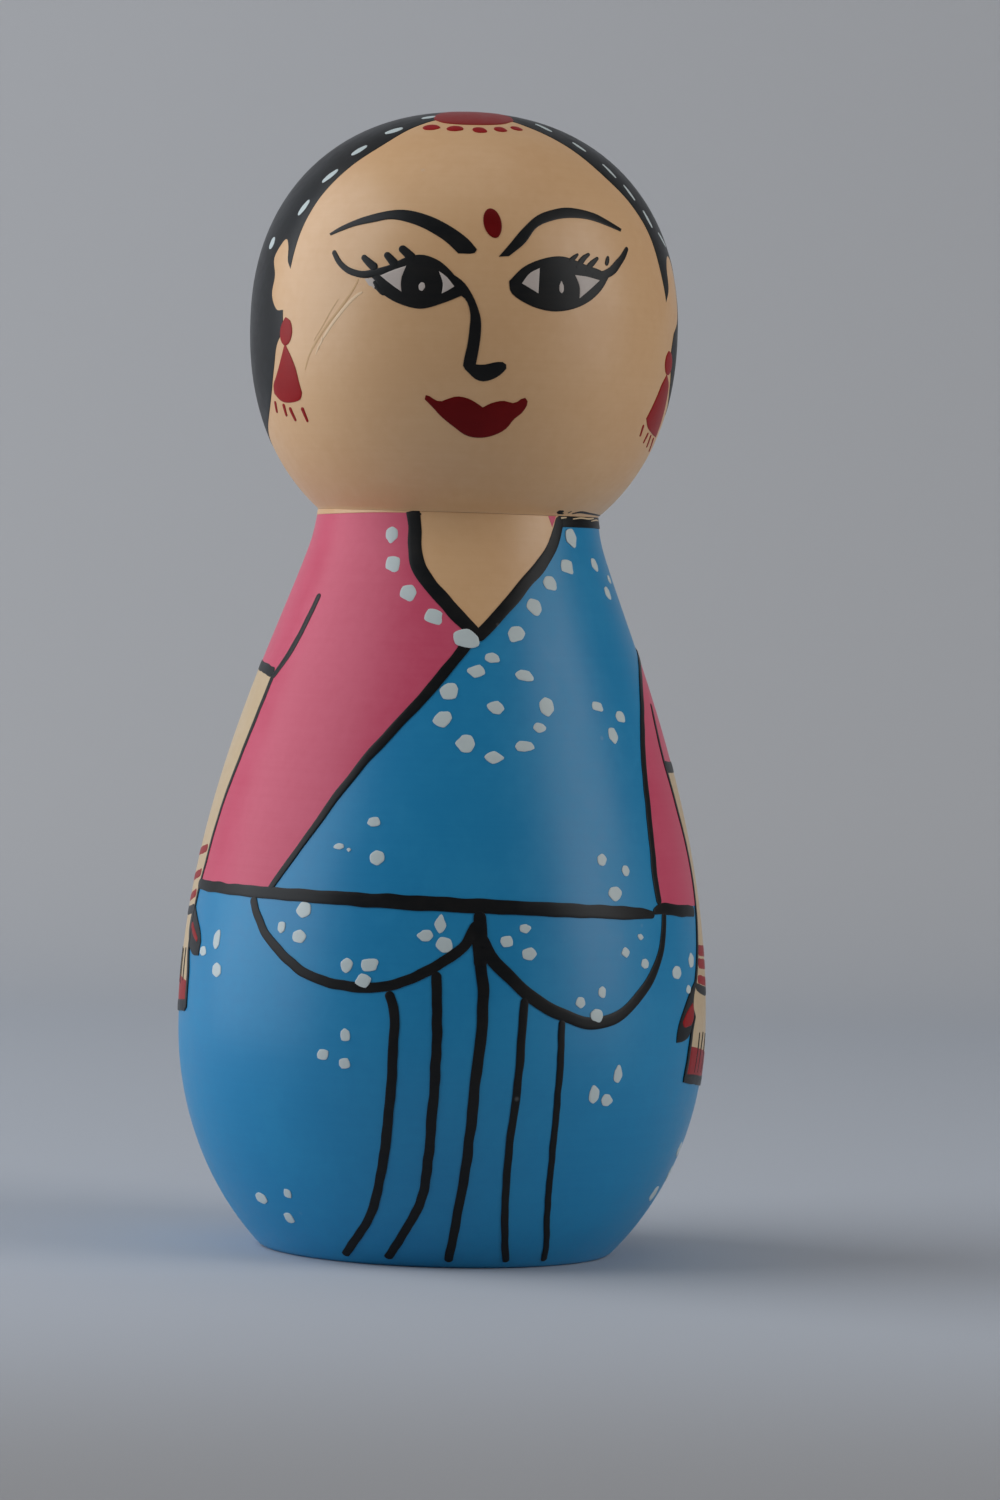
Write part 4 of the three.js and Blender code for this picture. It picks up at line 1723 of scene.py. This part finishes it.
@dataclass
class RightArm:
    """The arm on the viewer's right: sleeve, cuff, bangles and hand."""

    painter: Painter
    back: float = 94.0

    def build(self) -> None:
        """Paints the arm and what it wears."""
        back = self.back
        inner = (
            (66.5, 55.4), (67.5, 53.5), (69, 49.8), (71, 46.1), (71.8, 42.8), (70.8, 38.9), (68.6, 35.6),
            (66.6, 33), (64.2, 30.8),
        )
        self.painter.area(
            "arm_right",
            [
                list(inner),
                [(64.2, 30.8), (62.6, 28.6), (62.4, 26.8), (61, 24), (59.6, 21)],
                [(59.6, 21), (80, 19.9)],
                [(80, 19.9), (88, 21), (back - 2, 26), (back, 32), (back, 44), (back, 54.5)],
                [(back, 54.5), (66.5, 55.2)],
            ],
            ARM, Coat.SECOND, spacing=1.0,
        )
        self.painter.lines(
            "arm_right_edges",
            [
                Stroke(((70.5, 61.9), (68.6, 60), (67, 57.5), (66.6, 55)), (0.55, 0.7, 0.7)),
                Stroke(inner, (0.75, 0.8, 0.8)),
                Stroke(((back, 54.5), (back, 44), (back, 32), (back - 2, 26), (88, 21)), (0.75, 0.8, 0.75)),
            ],
            BLACK,
        )
        cuff = Stroke(((66.8, 55), (80, 54.8), (back, 54.8)), (1.35, 1.25, 1.1))
        self.painter.lines("sleeve_cuff_right", [cuff], BLACK)
        bangles = [
            Stroke(((68.6, 34.8), (80.4, 34.3), (back - 0.5, 34)), (1.2, 1.3)),
            Stroke(((67.8, 33.35), (80.4, 32.85), (back - 0.5, 32.6)), (1.15, 1.05)),
            Stroke(((66.6, 31.65), (80.2, 30.9), (back - 0.5, 30.7)), (1.0, 1.05)),
        ]
        self.painter.lines("bangles_right", bangles, RED, load=WASH)
        wrist = Stroke(((64.8, 30.9), (68, 30.55), (74, 30.1), (80.2, 29.9), (back - 0.5, 29.6)),
                       (0.8, 1.05, 1.0, 0.95))
        self.painter.lines("wrist_right", [wrist], BLACK)
        self.painter.area(
            "thumb_right",
            [
                [(65, 31.7), (62.8, 31.1), (60, 30.1), (57, 28.6), (54.6, 27.1), (53.6, 25.8), (53.5, 25)],
                [(53.5, 25), (56.5, 25.05), (59.4, 25.4), (61.3, 26.1), (63, 27), (64.2, 27.8)],
                [(64.2, 27.8), (62.9, 28.6), (63.2, 29.8), (65, 31)],
            ],
            BLACK, Coat.LINE, spacing=0.5,
        )
        self.painter.area(
            "thumb_nail_right",
            [
                [(56.1, 27.2), (58.6, 28.3), (62.1, 29.2)],
                [(62.1, 29.2), (62.9, 28.2), (62.4, 27.3), (61, 26.7)],
                [(61, 26.7), (56.8, 26.65), (56.1, 27.2)],
            ],
            RED, Coat.DETAIL, spacing=0.4,
        )
        self.painter.area(
            "fingertips_right", [[(61, 24.4), (71, 23.7), (84, 22.8)], [(84, 19.9), (70, 20.4), (60, 21)]],
            RED, Coat.LINE, spacing=0.6,
        )
        self.painter.lines(
            "finger_lines_right",
            [
                Stroke(((64, 27.7), (62.4, 26.6), (61, 24.6), (60, 22.5), (59.3, 20.5)), (0.45, 0.75, 0.85)),
                Stroke(((68, 25.7), (66.9, 23.8), (65.5, 21.3)), (0.3, 0.34, 0.2)),
                Stroke(((72, 25.6), (70, 23.6), (68.6, 21.2)), (0.3, 0.34, 0.2)),
                Stroke(((76.5, 25.3), (74.6, 23.2), (73.2, 21)), (0.26, 0.3, 0.2)),
                Stroke(((58.8, 20.95), (70, 20.3), (81, 19.8)), (1.0, 1.15), square_start=True),
            ],
            BLACK, Coat.DETAIL,
        )


@dataclass
class SariDots:
    """White dots printed on the cloth: a string at the neck, a ring on the chest and threes."""

    painter: Painter

    def build(self) -> None:
        """Paints every group of dots."""
        groups = {
            "dots_neck_left": [
                Dot(-34, 79.8, 1.5, 1.7), Dot(-31.5, 76.6, 2.0, 1.8, 290), Dot(-24, 73.5, 1.85, 1.9, 300),
                Dot(-14.5, 71, 2.2, 1.8, 310),
            ],
            "dots_neck_right": [
                Dot(38, 76.9, 2.1, 1.7, 300), Dot(28, 75, 1.8, 1.6, 310),
                Dot(20, 72.4, 1.8, 1.9, 285), Dot(12.5, 69.4, 2.0, 1.7, 240), Dot(4, 66.7, 1.5, 1.2, 330),
                Dot(-0.5, 65.2, 1.8, 1.55, 180), Dot(57, 77.2, 1.5, 1.5, 300), Dot(69.5, 75.6, 1.3, 0.9, 300),
                Dot(61.5, 74.1, 1.6, 1.4, 300),
            ],
            "dots_chest_ring": [
                Dot(13.5, 64.9, 1.9, 1.3, 320, 0.4), Dot(-8.5, 62.9, 2.1, 1.8, 60),
                Dot(-10, 59.9, 2.0, 1.9, 50),
                Dot(-3.5, 57.4, 1.9, 2.0, 180), Dot(3.5, 56, 2.1, 1.35, 0, 0.15),
                Dot(12, 57.3, 2.2, 1.2, 230),
                Dot(16.5, 59.3, 1.35, 1.2, 0), Dot(19.5, 61.6, 1.7, 2.1, 270, 0.1),
                Dot(4.5, 61.4, 1.9, 1.5, 290),
            ],
            "dots_chest_three": [
                Dot(37, 61.7, 1.7, 1.2, 320), Dot(46, 60.6, 1.7, 1.25, 310),
                Dot(41, 58.6, 1.5, 1.8, 270, 0.1),
            ],
            "dots_swag_left": [
                Dot(-40, 38.9, 1.9, 1.7, 200, 0.1), Dot(-45.5, 36.9, 1.2, 1.2, 270),
                Dot(-40.5, 36, 1.7, 1.5, 200, 0.1),
                Dot(-28.5, 33.3, 1.4, 1.5, 270), Dot(-23.5, 33.4, 1.9, 1.6, 30),
                Dot(-11.5, 36.8, 1.5, 1.3, 180), Dot(-8.5, 38, 1.3, 1.8, 80),
                Dot(-7.5, 35.9, 1.8, 1.7, 300, 0.1),
            ],
            "dots_swag_right": [
                Dot(10, 37.8, 1.2, 1, 20), Dot(6, 36.4, 1.4, 1.4, 180, 0.1),
                Dot(11, 35.1, 1.6, 1.4, 160, 0.1),
                Dot(40.5, 36.8, 0.9, 0.7, 140), Dot(35.5, 35.2, 1.2, 1.1, 200, 0.1),
                Dot(41.5, 33.9, 1.2, 1.1, 200, 0.1),
                Dot(28.5, 31, 1, 1.2, 300), Dot(23, 29.9, 1.2, 1.2, 200, 0.1),
            ],
            "dots_hip_right": [
                Dot(54, 32.7, 2.0, 1.5, 200, 0.1), Dot(62.5, 33.8, 1.8, 1.6, 90, 0.1),
                Dot(60, 30.7, 1.3, 1, 200),
            ],
            "dots_under_drape": [
                Dot(-25, 48.7, 1.4, 1.2, 200), Dot(-33, 45.9, 1.1, 0.7, 200), Dot(-30.5, 45.6, 0.5, 0.4),
                Dot(-23.5, 44.9, 1.6, 1.6, 270, 0.1),
            ],
            "dots_waist_right": [
                Dot(30.5, 45.2, 1.3, 1.3, 270, 0.1), Dot(37.5, 44, 1.1, 1.2, 270, 0.1),
                Dot(33.5, 41.6, 1.9, 1.5, 270),
            ],
            "dots_hip_left": [
                Dot(-67, 34.7, 1.5, 1.9, 60, 0.4), Dot(-73, 33.3, 1.7, 1.2, 200),
                Dot(-65.5, 31.5, 1.9, 1.5, 200, 0.1),
            ],
            "dots_skirt_left": [
                Dot(-28, 25.7, 1.2, 1.4, 100), Dot(-33, 23.5, 1.4, 1.3, 180, 0.1),
                Dot(-28, 22.7, 1.3, 1.3, 200, 0.1),
                Dot(-58.5, 6.6, 2, 1.4, 200, 0.1), Dot(-47.5, 7.6, 1.1, 1.3, 200, 0.1),
                Dot(-50.5, 4.7, 1.5, 1.5, 200, 0.1),
            ],
            "dots_skirt_right": [
                Dot(33.5, 21.9, 1.3, 1.7, 90, 0.4), Dot(27.5, 19.8, 1.4, 1.8, 110, 0.3),
                Dot(31, 19.2, 1.4, 1.4, 350),
                Dot(72, 12.4, 1.8, 1.8, 200), Dot(74, 9.6, 1.8, 1.8, 300), Dot(66, 7.6, 2.0, 1.9, 200),
            ],
        }
        for seed, (name, dots) in enumerate(groups.items(), start=20):
            self.painter.dots(name, dots, WHITE, Coat.SECOND, seed=seed)
        over_lines = [
            Dot(-4, 68.7, 2.8, 2.2, 325), Dot(43.6, 80.1, 1.9, 1.95, 290),
            Dot(-24.5, 31.7, 1.8, 1.5, 200, 0.1),
            Dot(27, 28.5, 1.6, 1.4, 300),
        ]
        self.painter.dots("dots_over_lines", over_lines, WHITE, seed=19)


@dataclass
class BackDrape:
    """The long end of the sari that hangs down the back, with a hem and groups of dots."""

    painter: Painter
    hem_dots: int = 9
    hem_start: float = -138.0
    hem_pitch: float = 11.2
    hem_height: float = 23.0
    hem_sag: float = 2.1
    spots: tuple[Place, ...] = (
        (150, 70), (-160, 64), (168, 56), (-142, 50), (140, 46), (-172, 42), (156, 33), (-146, 33),
    )

    def build(self) -> None:
        """Paints the drape's edges, the waistband behind it, and the dots."""
        self.painter.lines(
            "back_drape_edges",
            [
                Stroke(((-113, 82), (-116, 73), (-121, 62), (-126, 50), (-130, 38), (-134, 27)), (0.95, 1.0)),
                Stroke(((81, 67.3), (92, 67.6), (103, 65), (110, 60), (116, 50), (120, 38), (124, 27)),
                       (0.95, 1.0)),
            ],
            BLACK,
        )
        self.painter.lines(
            "back_waistband",
            [
                Stroke(((-104.5, 39.6), (-117, 39.7), (-129, 39.8)), (1.2, 1.25)),
                Stroke(((95, 38.9), (107, 39), (119.5, 39.2)), (1.25, 1.2)),
            ],
            BLACK,
        )
        self.painter.lines(
            "back_hem",
            [Stroke(((-134, 27), (-150, 25.4), (-170, 24.6), (-190, 24.6), (-212, 25.3), (-236, 27)),
                    (1.1, 1.2, 1.1))],
            BLACK,
        )
        threes = []
        for angle, height in self.spots:
            threes += [
                Dot(angle - 3, height + 1.2, 1.6, 1.5, 200, 0.15),
                Dot(angle + 3.4, height + 0.6, 1.5, 1.4, 300, 0.15),
                Dot(angle + 0.4, height - 1.6, 1.5, 1.7, 270, 0.15),
            ]
        self.painter.dots("dots_back", threes, WHITE, Coat.SECOND, seed=60)
        hem = []
        for i in range(self.hem_dots):
            sag = self.hem_sag * math.sin(math.pi * (i + 0.5) / self.hem_dots)
            hem.append(Dot(self.hem_start - self.hem_pitch * i, self.hem_height - sag, 1.5, 1.6, 260, 0.2))
        self.painter.dots("dots_back_hem", hem, WHITE, Coat.SECOND, seed=61)


# --- Stage --------------------------------------------------------------------------------------


@dataclass
class Sweep:
    """A pale cloth floor that curves up into a grey wall behind the doll."""

    half_width: float = 2.2
    front: float = -1.4
    bend: float = 0.36
    bend_radius: float = 0.30
    height: float = 2.2
    floor_steps: int = 12
    bend_steps: int = 24
    front_painted_shade: tuple[float, float] = (-0.19, -0.05)  # where the floor's painted shade, darker towards its front, fades and the floor grows lighter
    wall_shade: tuple[float, float] = (0.30, 0.50)  # where it turns into the wall's grey

    def build(self) -> None:
        """Makes the sweep."""
        turn = np.linspace(0, math.pi / 2, self.bend_steps)[1:]
        floor = np.linspace(self.front, self.bend, self.floor_steps)
        y = np.concatenate([floor, self.bend + self.bend_radius * np.sin(turn)])
        z = np.concatenate([np.zeros(self.floor_steps), self.bend_radius * (1 - np.cos(turn))])
        y = np.append(y, y[-1])
        z = np.append(z, self.height)
        points = np.array([(x, b, c) for b, c in zip(y, z) for x in (-self.half_width, self.half_width)])
        faces: Faces = [(2 * i, 2 * i + 1, 2 * i + 3, 2 * i + 2) for i in range(len(y) - 1)]
        piece = new_piece("sweep", points, faces)
        piece.data.materials.append(self.cloth())

    def cloth(self) -> bpy.types.Material:
        """Returns the sweep's material: a pale floor with painted shade darker towards its front, a grey
        wall, and nothing when seen from behind.
        """
        made, bench, shader, place = new_material("sweep_cloth")
        axes = bench.add("ShaderNodeSeparateXYZ")
        bench.feed(axes.inputs[0], place)
        # Painted shade: the floor's colour is darker towards the front.
        near = bench.ramp(axes.outputs[1], *self.front_painted_shade)
        floor = bench.blend(near, (*linear(166, 166, 168), 1), (*linear(190, 195, 203), 1))
        share = bench.ramp(axes.outputs[1], *self.wall_shade)
        colour = bench.blend(share, floor, (*linear(203, 204, 207), 1))
        bench.feed(shader.inputs["Base Color"], colour)
        behind = bench.add("ShaderNodeNewGeometry").outputs["Backfacing"]
        bench.feed(shader.inputs["Alpha"], bench.maths("SUBTRACT", 1.0, behind))
        shader.inputs["Roughness"].default_value = 0.9
        shader.inputs["Specular IOR Level"].default_value = 0.2
        return made


@dataclass(frozen=True)
class SoftBox:
    """A large soft light beside the doll."""

    name: str
    bearing: float  # degrees round from the camera's side, towards its right
    distance: float
    height: float
    width: float
    tall: float
    power: float
    tint: Colour = (1.0, 1.0, 1.0)

    def build(self, camera_bearing: float, target: Vector) -> None:
        """Hangs the light and points it at the doll.

        Args:
            camera_bearing: The camera's own bearing, in degrees.
            target: The point that the light looks at.
        """
        light = bpy.data.lights.new(self.name, "AREA")
        light.shape = "RECTANGLE"
        light.size = self.width
        light.size_y = self.tall
        light.energy = self.power
        light.color = self.tint
        turn = math.radians(camera_bearing + self.bearing)
        lamp = bpy.data.objects.new(self.name, light)
        lamp.location = Vector((math.sin(turn), -math.cos(turn), 0)) * self.distance
        lamp.location.z = self.height
        lamp.rotation_euler = (target - lamp.location).to_track_quat("-Z", "Y").to_euler()
        bpy.context.scene.collection.objects.link(lamp)


@dataclass
class Studio:
    """The lights, the grey room and the camera."""

    camera_bearing: float = -7.5
    camera_distance: float = 675.0
    camera_height: float = 77.3
    look_right: float = 0.47
    look_up: float = -1.8
    roll: float = 1.85
    lens: float = 144.7
    room: Colour = (0.098, 0.096, 0.094)
    boxes: tuple[SoftBox, ...] = (
        SoftBox("left_softbox", -87, 0.62, 0.32, 0.8, 0.85, 4.85, (0.95, 0.995, 1.05)),
        SoftBox("right_softbox", 72, 0.75, 0.36, 0.5, 0.7, 2.5),
        SoftBox("overhead_softbox", 0, 0.08, 0.8, 0.6, 0.6, 0.6),
    )

    def build(self) -> None:
        """Sets up the lights, the room and the camera."""
        low, high = cad_box
        target = (low + high) / 2
        for box in self.boxes:
            box.build(self.camera_bearing, target)
        world = bpy.data.worlds.new("room")
        world.use_nodes = True
        world.node_tree.nodes["Background"].inputs[0].default_value = (*self.room, 1)
        bpy.context.scene.world = world
        bpy.context.scene.view_settings.view_transform = "Standard"
        self.camera()

    def camera(self) -> None:
        """Sets up the camera at its viewing angle."""
        bearing = math.radians(self.camera_bearing)
        yaw = bearing - math.radians(self.look_right)
        pitch = math.radians(self.look_up)
        roll = math.radians(self.roll)
        level = Vector((-math.sin(yaw), math.cos(yaw), 0))
        right = Vector((math.cos(yaw), math.sin(yaw), 0))
        up = Vector((0, 0, 1))
        forward = level * math.cos(pitch) + up * math.sin(pitch)
        above = up * math.cos(pitch) - level * math.sin(pitch)
        side = right * math.cos(roll) + above * math.sin(roll)
        top = above * math.cos(roll) - right * math.sin(roll)
        place = Vector((math.sin(bearing), -math.cos(bearing), 0)) * self.camera_distance * MM
        place.z = self.camera_height * MM
        data = bpy.data.cameras.new("camera")
        data.lens = self.lens
        data.clip_start = 0.01
        camera = bpy.data.objects.new("camera", data)
        axes = Matrix((side, top, -forward)).transposed()
        camera.matrix_world = Matrix.Translation(place) @ axes.to_4x4()
        bpy.context.scene.collection.objects.link(camera)
        bpy.context.scene.camera = camera


# --- Putting it together ------------------------------------------------------------------------


def earrings(painter: Painter) -> list[Earring]:
    """Describes the two earrings, which the hand made a little different.

    Args:
        painter: The head's painter.

    Returns:
        The one on the viewer's left, then the one on the right.
    """
    left = Earring(
        painter, "left",
        stud=((-62.6, 20.6), (-60.4, 20.2), (-59.4, 19), (-60.8, 17.8), (-63, 17.5), (-64.9, 18.2),
              (-64.8, 19.5), (-62.6, 20.6)),
        bell=(
            ((-62.8, 17.7), (-60.5, 16.5), (-58.6, 15.1), (-57.8, 13.8), (-57, 12.4)),
            ((-57, 12.4), (-58, 11.7), (-63.5, 11.3), (-68, 11.5), (-71.3, 12.3)),
            ((-71.3, 12.3), (-71, 13.2), (-68.5, 14.2), (-65.8, 15.6), (-62.8, 17.7)),
        ),
        tassels=(((-72, 11.5), (-72.5, 10.2)), ((-67.2, 11.2), (-67, 9.8)),
                 ((-64.2, 10.8), (-62.6, 9.3)), ((-58.2, 10.8), (-57, 9.2))),
        tassel_width=0.55,
    )
    right = Earring(
        painter, "right",
        stud=((65, 18.5), (63, 17.9), (62.6, 17), (64.5, 16), (68.5, 16), (70, 17), (68, 18.2), (65, 18.5)),
        bell=(
            ((65.5, 15.9), (62.5, 14.8), (60, 13.1), (57, 10.9)),
            ((57, 10.9), (60, 10), (66.5, 9.3), (73.5, 9)),
            ((73.5, 9), (72.5, 11), (71, 13.4), (69.5, 14.8), (65.5, 15.9)),
        ),
        tassels=(((56.5, 10.2), (57, 8.9)), ((62.3, 9.4), (61.6, 8.2)), ((65.7, 9.2), (66.8, 7.8)),
                 ((70.2, 8.9), (73.5, 7.4))),
        tassel_width=0.42,
    )
    return [left, right]


def main() -> None:
    """Builds the doll, dresses it and sets up the studio."""
    logging.basicConfig(level=logging.INFO, format="%(name)s %(message)s")
    dowel = DowelSize.read()
    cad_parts["neck_dowel"].data.materials.clear()
    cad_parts["neck_dowel"].data.materials.append(WOOD.material())
    head = TurnedSurface("head", dowel)
    body = TurnedSurface("body", dowel)
    HeadTurning(head).build()
    BodyTurning(body).build()
    on_head = Painter(head, "head")
    Hair(on_head).build()
    Face(on_head).build()
    for earring in earrings(on_head):
        earring.build()
    RimSmudges(on_head).build()
    on_body = Painter(body, "body")
    Blouse(on_body).build()
    Neckline(on_body).build()
    Skirt(on_body).build()
    LeftArm(on_body).build()
    RightArm(on_body).build()
    SariDots(on_body).build()
    BackDrape(on_body).build()
    Sweep().build()
    Studio().build()


if __name__ == "__main__":
    main()
